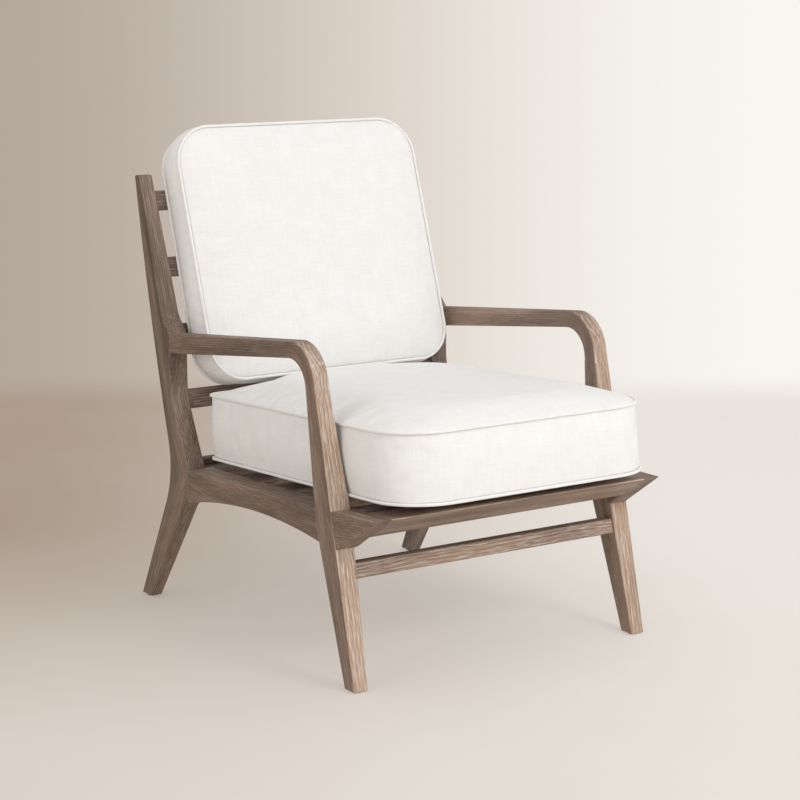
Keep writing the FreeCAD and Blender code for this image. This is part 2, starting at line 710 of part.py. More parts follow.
def front_stretcher():
    """Stretcher low between the front legs, raked as they are."""
    half = "(Sizes.half_width - Sizes.toe_thickness / 2)"
    low = "(Sizes.stretcher_level - Sizes.stretcher_height / 2)"
    high = "(Sizes.stretcher_level + Sizes.stretcher_height / 2)"
    rear = cell("stretcher_thickness")
    corners = []
    for level, depth in ((low, "0"), (high, "0"), (high, rear), (low, rear)):
        corners.append((f"({front_line(level)} + Sizes.stretcher_setback + {depth})", level))
    body = doc.addObject("PartDesign::Body", "front_stretcher_blank")
    sketch = outline(body, "YZ_Plane", corners, f"-{half}")
    pad(body, sketch, f"2 * {half}")
    edges = [f"Edge{index}" for index in edges_along_x(body.Tip.Shape)]
    fillet(body, body.Tip, edges, cell("edge_round"))
    for side, sign in SIDES.items():
        for name, level in dowel_levels(low, high):
            x = f"({sign} * (Sizes.half_width - {leg_thickness(level)}))"
            y = f"({front_line(level)} + Sizes.stretcher_setback + Sizes.stretcher_thickness / 2)"
            owners = ["front_stretcher", f"{side}_front_leg"]
            pin = dowel(f"{side}_stretcher_dowel_{name}", "small_dowel", (x, y, level), "x", owners)
            stretcher_dowels.append(pin)
    return trimmed("front_stretcher", body, legs["left"], legs["right"])


def eased_bar(label, item):
    """Round the long edges of a bar that runs along X."""
    doc.recompute()
    rounded = doc.addObject("Part::Fillet", f"{label}_eased")
    rounded.Base = item
    radius = size("edge_round")
    rounded.Edges = [(index, radius, radius) for index in edges_along_x(item.Shape)]
    return rounded


def rear_rail():
    """Rail between the rear posts at the back of the seat."""
    high = cell("rear_rail_top_level")
    low = f"({high} - Sizes.rear_rail_height)"
    corner = (f"-{POST_INNER}", cell("rear_rail_reach"), low)
    thickness, height = cell("rear_rail_thickness"), cell("rear_rail_height")
    bar = box("rear_rail_blank", f"2 * {POST_INNER}", thickness, height, corner)
    y = "(Sizes.rear_rail_reach + Sizes.rear_rail_thickness / 2)"
    for side, sign in SIDES.items():
        for name, level in dowel_levels(low, high):
            middle = (f"({sign} * {POST_INNER})", y, level)
            owners = ["rear_rail", f"{side}_rear_post"]
            pin = dowel(f"{side}_rear_rail_dowel_{name}", "small_dowel", middle, "x", owners)
            rear_rail_dowels.append(pin)
    return eased_bar("rear_rail", bar)


def back_slat(index):
    """One slat between the rear posts. The lowest stands apart from the plane of the others."""
    label = f"back_slat_{index + 1}"
    top = f"(Sizes.back_slat_top_level - Sizes.back_slat_pitch * {index})"
    top_reach = LOW_SLAT_REACH if index == BACK_SLATS - 1 else slat_front(top)
    half = "(Sizes.half_width - Sizes.post_top_thickness / 2)"
    corner = (
        f"-{half}",
        f"({top_reach} - Sizes.back_slat_height * sin({BACK_ANGLE}))",
        f"({top} - Sizes.back_slat_height * cos({BACK_ANGLE}))",
    )
    thickness, height = cell("back_slat_thickness"), cell("back_slat_height")
    blank = box(f"{label}_blank", f"2 * {half}", thickness, height, corner, f"-{BACK_ANGLE}")
    inward = "Sizes.back_slat_thickness / 2"
    for side, sign in SIDES.items():
        for name, share in DOWEL_SHARES.items():
            drop = f"Sizes.back_slat_height * {1 - share}"
            y = f"({top_reach} - {drop} * sin({BACK_ANGLE}) + {inward} * cos({BACK_ANGLE}))"
            z = f"({top} - {drop} * cos({BACK_ANGLE}) - {inward} * sin({BACK_ANGLE}))"
            x = f"({sign} * (Sizes.half_width - {post_thickness(z)}))"
            owners = [label, f"{side}_rear_post"]
            slat_dowels.append(dowel(f"{side}_{label}_dowel_{name}", "slat_dowel", (x, y, z), "x", owners))
    return trimmed(label, eased_bar(label, blank), posts["left"], posts["right"])


def slat_reach(index):
    """Return the front edge of one seat slat as an expression."""
    return f"({FIRST_SLAT_REACH} + {SEAT_SLAT_PITCH} * {index})"


def seat_slat(index):
    """One slat between the side rails, with a screw at each end into the cleat below."""
    label = f"seat_slat_{index + 1}"
    half = f"({RAIL_INNER} - Sizes.seat_slat_clearance)"
    front = slat_reach(index)
    corner = (f"-{half}", front, f"({deck(front)} - {UNDER_SLATS})")
    width, thickness = cell("seat_slat_width"), cell("seat_slat_thickness")
    blank = box(f"{label}_blank", f"2 * {half}", width, thickness, corner, f"-{DECK_TILT}")
    middle = f"({front} + Sizes.seat_slat_width / 2)"
    length = cell("slat_screw_length")
    for side, sign in SIDES.items():
        x = f"({sign} * ({RAIL_INNER} - Sizes.cleat_width / 2))"
        head = (x, middle, f"({deck(middle)} - Sizes.seat_slat_recess)")
        name = f"{side}_{label}_screw"
        slat_screws.append(screw(name, length, head, Rotation()))
        hole = screw(f"{name}_hole", length, head, Rotation(), cell("hole_clearance"))
        drill(label, hole)
        drill(f"{side}_slat_cleat", hole)
    return eased_bar(label, blank)


def slat_cleat(side, sign):
    """Strip under the slats' ends, screwed to the inner face of the side rail between the slats."""
    inner = f"({sign} * {RAIL_INNER})"
    low_x = inner if sign < 0 else f"({inner} - Sizes.cleat_width)"
    run = f"(Sizes.rear_rail_reach - {RAIL_REAR_REACH} - 2 * Sizes.cleat_clearance)"
    length = f"({run} / cos({DECK_TILT}) - Sizes.cleat_height * tan({DECK_TILT}))"
    front = f"({RAIL_REAR_REACH} + Sizes.cleat_clearance)"
    corner = (low_x, front, f"({deck(front)} - {UNDER_SLATS} - Sizes.cleat_height / cos({DECK_TILT}))")
    width, height = cell("cleat_width"), cell("cleat_height")
    strip = box(f"{side}_slat_cleat_blank", width, length, height, corner, f"-{DECK_TILT}")
    turn = Rotation(Vector(0, 1, 0), -90 * sign)
    screw_length = cell("cleat_screw_length")
    for index in range(1, CLEAT_SCREWS + 1):
        reach = f"({slat_reach(index)} + (Sizes.seat_slat_width + {SEAT_SLAT_PITCH}) / 2)"
        level = f"({deck(reach)} - {UNDER_SLATS} - Sizes.cleat_height / 2)"
        head = (f"({inner} - {sign} * Sizes.cleat_width)", reach, level)
        name = f"{side}_cleat_screw_{index}"
        cleat_screws.append(screw(name, screw_length, head, turn))
        hole = screw(f"{name}_hole", screw_length, head, turn, cell("hole_clearance"))
        drill(f"{side}_slat_cleat", hole)
        drill(f"{side}_side_rail", hole)
    return strip


def foot_glide(side, sign, end):
    """Round glide with a pin under one foot."""
    if end == "front":
        x = f"({sign} * (Sizes.half_width - Sizes.toe_thickness / 2))"
        y = f"({front_line(cell('glide_height'))} + Sizes.toe_depth / 2)"
        foot = f"{side}_front_leg"
    else:
        x = f"({sign} * (Sizes.half_width - Sizes.heel_thickness / 2))"
        y = "(Sizes.heel_reach - Sizes.heel_depth / 2 - Sizes.glide_height / 2)"
        foot = f"{side}_rear_post"
    label = f"{side}_{end}_glide"
    height = cell("glide_height")
    length = f"({height} + Sizes.glide_pin_length)"
    gap = "2 * Sizes.hole_clearance"
    disc = rod(f"{label}_disc", cell("glide_diameter"), height, (x, y, f"{height} / 2"), "z")
    middle = (x, y, f"{length} / 2")
    pin = rod(f"{label}_pin", cell("glide_pin_diameter"), length, middle, "z")
    bore = rod(f"{label}_bore", f"Sizes.glide_pin_diameter + {gap}", f"{length} + {gap}", middle, "z")
    drill(foot, bore)
    glide = doc.addObject("Part::Fuse", label)
    glide.Base = disc
    glide.Tool = pin
    return glide


# Cushions, as lofts through rounded outlines
def rounded_wire(bounds, radii, level):
    """Make a closed wire of four quarter arcs and four lines, with radii from the low left corner on."""
    left, right, low, high = bounds
    corners = [(left, low), (right, low), (right, high), (left, high)]
    inward = [(1, 1), (-1, 1), (-1, -1), (1, -1)]
    arcs = []
    for (x, y), (dx, dy), radius in zip(corners, inward, radii):
        centre = Vector(x + dx * radius, y + dy * radius, level)
        outward = math.degrees(math.atan2(-dy, -dx))
        points = []
        for turn in (-45, 0, 45):
            angle = math.radians(outward + turn)
            points.append(centre + Vector(math.cos(angle), math.sin(angle), 0) * radius)
        arcs.append(Part.Arc(*points).toShape())
    edges = []
    for arc, following in zip(arcs, arcs[1:] + arcs[:1]):
        edges.append(arc)
        edges.append(Part.LineSegment(arc.Vertexes[-1].Point, following.Vertexes[0].Point).toShape())
    return Part.Wire(edges)


def crown(height, reach):
    """Return the rises and insets of a panel from its seam to its flat middle, steep at the seam."""
    steps = []
    for share in CROWN_SHARES:
        steps.append((height * math.sin(math.pi / 2 * share ** CROWN_POWER), reach * share))
    return steps


def cushion_levels(name, near, far, taper=0.0):
    """List a boxed cushion's sections as (level, inset, taper), from the crown below its near seam on."""
    boxing = size(f"{name}_boxing")
    bulge = size(f"{name}_bulge")
    near_crown = crown(size(f"{name}_{near}_crown"), size(f"{name}_{near}_crown_reach"))
    far_crown = crown(size(f"{name}_{far}_crown"), size(f"{name}_{far}_crown_reach"))
    levels = [(-rise, inset, 0.0) for rise, inset in reversed(near_crown)]
    for share in BOXING_SHARES:
        levels.append((boxing * share, -bulge * math.sin(math.pi * share), taper * share))
    levels += [(boxing + rise, inset, taper) for rise, inset in far_crown]
    return levels


def cushion_solid(bounds, radii, levels, skin, wall=0.0):
    """Loft a cushion whose skin lies inside its seam lines, and a further wall depth inside all round."""
    left, right, low, high = bounds
    bottom, top = levels[0][0], levels[-1][0]
    middle = (bottom + top) / 2
    scale = 1 - 2 * wall / (top - bottom)
    wires = []
    for level, inset, taper in levels:
        edge = inset + skin + wall
        section = (left + edge, right - edge, low + edge + taper, high - edge)
        share = 1 - RADIUS_SHRINK * edge / (right - left)
        corner_radii = [radius * share for radius in radii]
        wires.append(rounded_wire(section, corner_radii, middle + (level - middle) * scale))
    return Part.makeLoft(wires, True, True)


def welt_ring(bounds, radii, level, tube_radius):
    """Sweep a round cord along one seam of a cushion."""
    path = rounded_wire(bounds, radii, level)
    first = path.Edges[1]
    start = first.Vertexes[0].Point
    along = first.Vertexes[-1].Point - start
    ordered = Part.Wire(path.Edges[1:] + path.Edges[:1])
    section = Part.Wire(Part.makeCircle(tube_radius, start, along))
    return ordered.makePipeShell([section], True, False)


def soft_node(label, shape, placement):
    """Keep a computed soft shape as a node at its placement."""
    feature = doc.addObject("Part::Feature", label)
    feature.Shape = shape
    feature.Placement = placement
    nodes[label] = feature


def add_cushion(name, bounds, radii, levels, boxing, placement):
    """Add one cushion: its cover as a shell, its core inside and a welt in each of its two seams."""
    tube_radius = size("welt_diameter") / 2
    skin = tube_radius + size("welt_clearance")
    wall = size("cover_wall")
    cavity = cushion_solid(bounds, radii, levels, skin, wall)
    soft_node(f"{name}_cover", cushion_solid(bounds, radii, levels, skin).cut(cavity), placement)
    core = cushion_solid(bounds, radii, levels, skin, wall + size("core_clearance"))
    soft_node(f"{name}_core", core, placement)
    left, right, low, high = bounds
    rings = []
    for level, taper in ((0.0, 0.0), (boxing, levels[-1][2])):
        rings.append(welt_ring((left, right, low + taper, high), radii, level, tube_radius))
    soft_node(f"{name}_welts", Part.makeCompound(rings), placement)


def seat_cushion():
    """Add the seat cushion, which reaches past the front rail, and return its upper rear seam's level."""
    half = size("half_width") - size("leg_seat_thickness") - size("seat_side_clearance")
    rear = size("rail_seam_reach") - size("seat_rear_clearance")
    bounds = (-half, half, -size("front_reach") - size("seat_overhang"), rear)
    radii = [size("seat_front_radius")] * 2 + [size("seat_rear_radius")] * 2
    levels = cushion_levels("seat", "bottom", "top", size("seat_front_taper"))
    tilt = Rotation(X_AXIS, -size("seat_angle"))
    lowest = tilt.multVec(Vector(0, rear - levels[0][1], levels[0][0]))
    support = number(f"{deck(lowest.y)} - Sizes.seat_slat_recess")
    lift = Vector(0, 0, support + size("cushion_clearance") - lowest.z)
    add_cushion("seat_cushion", bounds, radii, levels, size("seat_boxing"), FreeCAD.Placement(lift, tilt))
    return (tilt.multVec(Vector(0, rear, size("seat_boxing"))) + lift).z


def back_cushion(seat_level):
    """Add the back cushion, which stands on the seat cushion and leans on the back slats."""
    half = size("half_width") - size("post_thickness") - size("back_side_clearance")
    bounds = (-half, half, 0.0, size("back_length"))
    radii = [size("back_bottom_radius")] * 2 + [size("back_top_radius")] * 2
    levels = cushion_levels("back", "rear", "front")
    rearmost = min(levels[0][0], -size("welt_diameter") / 2)
    gap = (size("cushion_clearance") - rearmost) / math.cos(math.radians(number(BACK_ANGLE)))
    level = seat_level + size("back_above_seat_welt")
    base = Vector(0, number(slat_front(level)) - gap, level)
    lean = Rotation(X_AXIS, 90 - number(BACK_ANGLE))
    add_cushion("back_cushion", bounds, radii, levels, size("back_boxing"), FreeCAD.Placement(base, lean))


def check_objects():
    """Stop if any feature failed or any node has a bad shape."""
    for item in doc.Objects:
        if "Invalid" in item.State or "Error" in item.State:
            raise RuntimeError(f"{item.Name} did not build: {item.State}")
    for label, item in nodes.items():
        if item.Shape.isNull() or not item.Shape.isValid():
            raise RuntimeError(f"{label} has no valid shape")


def export_nodes():
    """Write each node's shape to its own file."""
    os.makedirs(PARTS_FOLDER, exist_ok=True)
    for label, item in nodes.items():
        item.Label = label
        item.Shape.exportStep(f"{PARTS_FOLDER}/{label}.step")


legs, posts, arms, rails, horns = {}, {}, {}, {}, {}
rail_dowels, arm_dowels, horn_dowels, stretcher_dowels = [], [], [], []
rear_rail_dowels, slat_dowels, slat_screws, cleat_screws, glides = [], [], [], [], []

for side_name, side_sign in SIDES.items():
    add_side(side_name, side_sign)
doc.recompute()
bars = {"front_rail": front_rail(), "front_stretcher": front_stretcher(), "rear_rail": rear_rail()}
for slat_index in range(BACK_SLATS):
    bars[f"back_slat_{slat_index + 1}"] = back_slat(slat_index)
for slat_index in range(SEAT_SLATS):
    bars[f"seat_slat_{slat_index + 1}"] = seat_slat(slat_index)
for side_name, side_sign in SIDES.items():
    bars[f"{side_name}_slat_cleat"] = slat_cleat(side_name, side_sign)
    glides.append(foot_glide(side_name, side_sign, "front"))
    glides.append(foot_glide(side_name, side_sign, "rear"))

for side_name in SIDES:
    finish(f"{side_name}_front_leg", legs[side_name])
    finish(f"{side_name}_rear_post", posts[side_name])
    finish(f"{side_name}_arm", arms[side_name])
    finish(f"{side_name}_side_rail", rails[side_name])
    finish(f"{side_name}_horn", horns[side_name])
for bar_label, bar_item in bars.items():
    finish(bar_label, bar_item)
group("side_rail_dowels", rail_dowels)
group("arm_dowels", arm_dowels)
group("horn_dowels", horn_dowels)
group("stretcher_dowels", stretcher_dowels)
group("rear_rail_dowels", rear_rail_dowels)
group("back_slat_dowels", slat_dowels)
group("seat_slat_screws", slat_screws)
group("cleat_screws", cleat_screws)
group("foot_glides", glides)
back_cushion(seat_cushion())

doc.recompute()
check_objects()
export_nodes()
for node_label, node_item in nodes.items():
    print(node_label, len(node_item.Shape.Solids), round(node_item.Shape.Volume))
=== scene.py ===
"""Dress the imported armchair: weathered oak frame, linen box cushions, fittings, studio and camera.

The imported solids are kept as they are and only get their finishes. The two cushions and their welts are
new surfaces, worked out with numpy in each cushion's own frame and then leaned into place.
"""

import logging
import math
from dataclasses import dataclass
from enum import Enum

import bpy
import numpy as np
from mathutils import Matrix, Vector

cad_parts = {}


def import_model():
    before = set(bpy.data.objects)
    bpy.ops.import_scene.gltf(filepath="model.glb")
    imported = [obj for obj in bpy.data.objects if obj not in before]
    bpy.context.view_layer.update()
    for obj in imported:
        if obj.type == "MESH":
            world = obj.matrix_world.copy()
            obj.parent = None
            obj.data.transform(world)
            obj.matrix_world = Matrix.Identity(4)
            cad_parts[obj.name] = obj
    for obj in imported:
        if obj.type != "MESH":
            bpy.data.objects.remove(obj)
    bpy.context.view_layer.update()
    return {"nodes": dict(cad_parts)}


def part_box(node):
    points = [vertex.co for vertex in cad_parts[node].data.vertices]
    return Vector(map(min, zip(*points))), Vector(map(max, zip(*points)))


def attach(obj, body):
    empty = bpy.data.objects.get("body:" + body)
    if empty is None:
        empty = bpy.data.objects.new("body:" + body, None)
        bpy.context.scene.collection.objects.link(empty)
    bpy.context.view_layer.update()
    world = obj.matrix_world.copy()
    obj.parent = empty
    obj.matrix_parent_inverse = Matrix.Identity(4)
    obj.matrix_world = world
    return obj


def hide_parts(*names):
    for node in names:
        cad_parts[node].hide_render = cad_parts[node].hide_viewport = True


LOG = logging.getLogger("armchair")
BODY = "root"
CLOTH_UV = "cloth"
SEAM_ATTRIBUTE = "seam"
SMALLEST = 1e-9

# The cloth that swells a cover: light and fairly stiff, under an even pressure from inside
CLOTH_SETTINGS = {
    "use_pressure": True,
    "uniform_pressure_force": 4.0,
    "mass": 0.3,
    "tension_stiffness": 40.0,
    "compression_stiffness": 40.0,
    "shear_stiffness": 15.0,
    "bending_stiffness": 2.0,
    "shrink_min": -0.006,
}
CLOTH_FRAMES = 20

Array = np.ndarray
Pair = tuple[float, float]
Triple = tuple[float, float, float]
Colour = tuple[float, float, float, float]
Stops = tuple[tuple[float, Colour], ...]
Object = bpy.types.Object
Socket = bpy.types.NodeSocket
Number = Socket | float
Paint = Socket | Colour
Gloss = dict[str, Number]


class Finish(Enum):
    """The record's material slots for the cloth of new pieces; the pieces here make their own materials
    instead.
    """

    COVER = "cover_linen"
    WELT = "welt_linen"


@dataclass(frozen=True)
class Fade:
    """An eased map of values: where it starts and ends, and its result there."""

    start: float
    end: float
    low: float = 0.0
    high: float = 1.0


@dataclass(frozen=True)
class Noise:
    """A fractal noise: its blotches per metre along each axis, its place among the seeds and its octaves."""

    scale: Triple
    seed: float = 0.0
    detail: float = 2.0


class ShaderGraph:
    """A node tree with short calls for the nodes that the finishes share."""

    def __init__(self, owner: bpy.types.Material | bpy.types.World) -> None:
        """Empty the node tree of a material or world, which then gets its own nodes.

        Args:
            owner: The material or world.
        """
        owner.use_nodes = True
        self.tree = owner.node_tree
        self.tree.nodes.clear()

    def add(
        self, kind: str, inputs: dict[str | int, object] | None = None, **settings: object
    ) -> bpy.types.Node:
        """Add one node, with its settings first and then its inputs set or linked.

        Args:
            kind: The node's type without its "ShaderNode" prefix.
            inputs: A value or an output socket for each named or numbered input.
            **settings: The node's own properties.

        Returns:
            The new node.
        """
        node = self.tree.nodes.new("ShaderNode" + kind)
        for name, value in settings.items():
            setattr(node, name, value)
        for key, value in (inputs or {}).items():
            if isinstance(value, Socket):
                self.tree.links.new(value, node.inputs[key])
            else:
                node.inputs[key].default_value = value
        return node

    def math(self, operation: str, first: Number, second: Number = 0.0, third: Number = 0.0) -> Socket:
        """Combine two or three numbers by the Math node's operation."""
        return self.add("Math", {0: first, 1: second, 2: third}, operation=operation).outputs[0]

    def plus(self, first: Number, second: Number) -> Socket:
        """Return the sum of two numbers."""
        return self.math("ADD", first, second)

    def times(self, first: Number, second: Number) -> Socket:
        """Return the product of two numbers."""
        return self.math("MULTIPLY", first, second)

    def dot(self, first: Socket, second: Socket | Triple | Vector) -> Socket:
        """Return the dot product of two vectors."""
        return self.add("VectorMath", {0: first, 1: second}, operation="DOT_PRODUCT").outputs["Value"]

    def fade(self, value: Socket, fade: Fade) -> Socket:
        """Map a value smoothly from one range to another."""
        ends = {"From Min": fade.start, "From Max": fade.end, "To Min": fade.low, "To Max": fade.high}
        return self.add("MapRange", {"Value": value} | ends, interpolation_type="SMOOTHSTEP").outputs[0]

    def noise(self, vector: Socket, noise: Noise, seed: float = 0.0) -> Socket:
        """Return fractal noise from 0 to 1 on coordinates that are scaled axis by axis.

        Args:
            vector: The coordinates in metres.
            noise: The kind of noise.
            seed: What is added to its seed, to tell one board or cushion from the next.

        Returns:
            The noise value's socket.
        """
        scaled = self.add("VectorMath", {0: vector, 1: noise.scale}, operation="MULTIPLY").outputs[0]
        inputs = {"Vector": scaled, "W": seed + noise.seed, "Scale": 1.0, "Detail": noise.detail}
        return self.add("TexNoise", inputs, noise_dimensions="4D").outputs[0]

    def mix(self, factor: Number, first: Paint, second: Paint, mode: str = "MIX") -> Socket:
        """Blend two colours, which are the node's sixth and seventh inputs, by the second one's share."""
        inputs = {0: factor, 6: first, 7: second}
        return self.add("Mix", inputs, data_type="RGBA", blend_type=mode).outputs[2]

    def ramp(self, value: Socket, stops: Stops) -> Socket:
        """Turn a value into a colour through evenly eased stops.

        Args:
            value: The socket that picks the colour.
            stops: Pairs of place and colour, in order.

        Returns:
            The colour's socket.
        """
        node = self.add("ValToRGB", {0: value})
        elements = node.color_ramp.elements
        while len(elements) < len(stops):
            elements.new(0.5)
        for element, (place, colour) in zip(elements, stops):
            element.position = place
            element.color = colour
        return node.outputs[0]

    def surface(
        self, colour: Socket, height: Socket, bump: Pair, gloss: Gloss, normal: Socket | None = None
    ) -> None:
        """Send a Principled shader with fine relief to the material's output.

        Args:
            colour: Its base colour.
            height: The relief.
            bump: The relief's strength and depth.
            gloss: The shader's other inputs.
            normal: The normal that the relief starts from, if not the surface's own.
        """
        relief = {"Strength": bump[0], "Distance": bump[1], "Height": height}
        if normal is not None:
            relief["Normal"] = normal
        bumped = self.add("Bump", relief).outputs[0]
        shader = self.add("BsdfPrincipled", {"Base Color": colour, "Normal": bumped, **gloss})
        self.add("OutputMaterial", {"Surface": shader.outputs[0]})


@dataclass(frozen=True)
class Plane:
    """A plane along X, as the share of Y, the share of Z and the constant of the depth behind it."""

    y: float
    z: float
    constant: float


@dataclass(frozen=True)
class Board:
    """How one oak piece lies in its log: the run of its grain, its place among the rings and its tone.

    A straight board's grain runs along X of a frame at its middle, turned by three angles. A bent board's
    grain follows two planes and turns at the corner between them. The joint is the level of a seam that the
    real piece hides, so it isn't worn there.
    """

    centre: Triple
    pith: Pair
    slope: float
    seed: float
    turn: Triple = (0.0, 0.0, 0.0)
    tone: float = 0.0
    # The share of the finish's painted light that this board's faces turned to the key light take
    painted_light: float = 1.0
    bend: tuple[Plane, Plane] | None = None
    corner: float = 0.01
    joint: float | None = None


@dataclass(frozen=True)
class OakFinish:
    """Wire-brushed oak under a grey-brown stain, with pale lime left in its open pores."""

    dark: Colour = (0.100, 0.064, 0.045, 1.0)
    stain: Colour = (0.222, 0.147, 0.104, 1.0)
    warm: Colour = (0.500, 0.325, 0.215, 1.0)
    lime: Colour = (0.700, 0.620, 0.555, 1.0)
    worn: Colour = (0.480, 0.315, 0.210, 1.0)
    ring_width: float = 0.0042
    wander: float = 0.012
    bow: Noise = Noise((6.0, 16.0, 16.0))
    cup: Noise = Noise((5.0, 18.0, 18.0), 7.3)
    pore: Noise = Noise((34.0, 480.0, 480.0), 1.7, 3.0)
    fibre: Noise = Noise((9.0, 1100.0, 1100.0), 3.1, 3.0)
    patch: Noise = Noise((4.0, 30.0, 30.0), 5.9, 3.0)
    ring_end: Fade = Fade(0.0, 0.42, 1.0, 0.0)
    ring_start: Fade = Fade(0.9, 1.0)
    late_wood: Fade = Fade(0.45, 0.95, 0.0, 0.22)
    open_pore: Fade = Fade(0.47, 0.60)
    ring_lime: float = 0.38
    late_pores: float = 0.4
    # Painted light: faces turned towards this side, the key light's, get a lighter tone and more lime
    lit_side: Triple = (0.15, -0.93, 0.30)
    lit_facing: Pair = (0.1, 0.95)
    painted_light: float = 0.66
    tone_gain: float = 0.62
    stain_stop: float = 0.42
    patch_tone: Fade = Fade(0.3, 0.72, 0.1, 0.7)
    patch_lime: Fade = Fade(0.25, 0.7, 0.10, 0.34)
    patch_wear: Fade = Fade(0.3, 0.6, 0.15, 0.5)
    patch_rough: Fade = Fade(0.3, 0.7, 0.62, 0.5)
    fibre_shade: Fade = Fade(0.25, 0.75, 0.84, 1.1)
    fibre_relief: float = 0.5
    edge_radius: float = 0.003
    edge_wear: Fade = Fade(0.995, 0.9)
    joint_clear: Fade = Fade(0.003, 0.006)
    bump: Pair = (0.5, 0.0005)
    specular: float = 0.4

    def grain(self, graph: ShaderGraph, board: Board) -> Socket:
        """Return coordinates with X along the grain, Y and Z through the log.

        For a bent board, Y is the smooth minimum of the depths behind its two planes, and X is their
        difference, which grows along both of its arms.

        Args:
            graph: The material's graph.
            board: The board.

        Returns:
            The coordinates' socket, in metres.
        """
        place = graph.add("TexCoord").outputs["Object"]
        if board.bend is None:
            mapping = {"Vector": place, "Location": board.centre, "Rotation": board.turn}
            return graph.add("Mapping", mapping, vector_type="TEXTURE").outputs[0]
        depths = [graph.plus(graph.dot(place, (0.0, side.y, side.z)), side.constant) for side in board.bend]
        layer = graph.math("SMOOTH_MIN", *depths, board.corner)
        offset = graph.math("SUBTRACT", graph.add("SeparateXYZ", {0: place}).outputs["X"], board.centre[0])
        parts = {"X": graph.math("SUBTRACT", *depths), "Y": layer, "Z": offset}
        return graph.add("CombineXYZ", parts).outputs[0]

    def age(self, graph: ShaderGraph, grain: Socket, board: Board) -> Socket:
        """Return how far each place lies through its growth ring, from 0 to 1.

        A ring is a circle round the pith, which lies outside the board and slants along it, so that the
        rings cut the faces as straight bands on one side and as arches on the next.

        Args:
            graph: The material's graph.
            grain: The coordinates along and across the grain.
            board: The board.

        Returns:
            The age's socket.
        """
        axes = graph.add("SeparateXYZ", {0: grain})
        bow = graph.times(graph.noise(grain, self.bow, board.seed), self.wander)
        cup = graph.times(graph.noise(grain, self.cup, board.seed), self.wander)
        lean = graph.times(axes.outputs["X"], board.slope)
        across = graph.plus(bow, axes.outputs["Y"])
        depth = graph.plus(graph.plus(cup, axes.outputs["Z"]), lean)
        from_pith = {"X": graph.plus(across, board.pith[0]), "Y": graph.plus(depth, board.pith[1])}
        place = graph.add("CombineXYZ", from_pith).outputs[0]
        radius = graph.add("VectorMath", {0: place}, operation="LENGTH").outputs["Value"]
        return graph.math("FRACT", graph.math("DIVIDE", radius, self.ring_width))

    def edges(self, graph: ShaderGraph, board: Board, normal: Socket, patches: Socket) -> tuple[Socket, ...]:
        """Round the edges and wear them in patches, where the rounded normal turns away from the face's.

        Args:
            graph: The material's graph.
            board: The board, whose hidden joint stays crisp and unworn.
            normal: The face's normal.
            patches: The board's slow noise.

        Returns:
            The rounded normal and the share of wear.
        """
        edge = graph.add("Bevel", {"Radius": self.edge_radius}, samples=6).outputs[0]
        turned = graph.dot(edge, normal)
        wear = graph.times(graph.fade(turned, self.edge_wear), graph.fade(patches, self.patch_wear))
        if board.joint is not None:
            level = graph.add("SeparateXYZ", {0: graph.add("TexCoord").outputs["Object"]}).outputs["Z"]
            beside = graph.math("ABSOLUTE", graph.math("SUBTRACT", level, board.joint))
            clear = graph.fade(beside, self.joint_clear)
            wear = graph.times(wear, clear)
            edge = graph.mix(clear, graph.add("NewGeometry").outputs["Normal"], edge)
        return edge, wear

    def material(self, name: str, board: Board) -> bpy.types.Material:
        """Make the finish of one board.

        Each ring begins with open pores, which are long dashes of noise, and the lime lies in them. Faces
        turned to the key light are painted lighter and hold more lime: painted light.

        Args:
            name: The material's name.
            board: The board.

        Returns:
            The material.
        """
        material = bpy.data.materials.new(name)
        graph = ShaderGraph(material)
        grain = self.grain(graph, board)
        age = self.age(graph, grain, board)
        early = graph.math("MAXIMUM", graph.fade(age, self.ring_end), graph.fade(age, self.ring_start))
        pores = graph.fade(graph.noise(grain, self.pore, board.seed), self.open_pore)
        fibre = graph.noise(grain, self.fibre, board.seed)
        patches = graph.noise(grain, self.patch, board.seed)
        normal = graph.add("NewGeometry").outputs["True Normal"]
        # Painted light: faces turned to the key light get a lighter tone here and more lime below
        facing = Fade(*self.lit_facing, 0.0, self.painted_light * board.painted_light)
        painted_light = graph.fade(graph.dot(normal, self.lit_side), facing)
        tone = graph.plus(graph.plus(graph.fade(patches, self.patch_tone), board.tone), painted_light)
        stops = ((0.0, self.dark), (self.stain_stop, self.stain), (1.0, self.warm))
        body = graph.ramp(graph.times(tone, self.tone_gain), stops)
        body = graph.mix(graph.fade(age, self.late_wood), body, self.dark)
        early_pores = graph.math("MULTIPLY_ADD", early, 1.0 - self.late_pores, self.late_pores)
        filled = graph.math("MAXIMUM", graph.times(pores, early_pores), graph.times(early, self.ring_lime))
        # The lime's strength grows with the painted light on faces turned to the key light
        strength = graph.plus(graph.fade(patches, self.patch_lime), painted_light)
        body = graph.mix(graph.times(filled, strength), body, self.lime)
        shade = graph.fade(fibre, self.fibre_shade)
        grey = graph.add("CombineColor", {0: shade, 1: shade, 2: shade}).outputs[0]
        body = graph.mix(1.0, body, grey, "MULTIPLY")
        edge, wear = self.edges(graph, board, normal, patches)
        body = graph.mix(wear, body, self.worn)
        relief = graph.math("SUBTRACT", graph.times(fibre, self.fibre_relief), graph.times(early, pores))
        gloss = {"Roughness": graph.fade(patches, self.patch_rough), "Specular IOR Level": self.specular}
        graph.surface(body, relief, self.bump, gloss, edge)
        return material


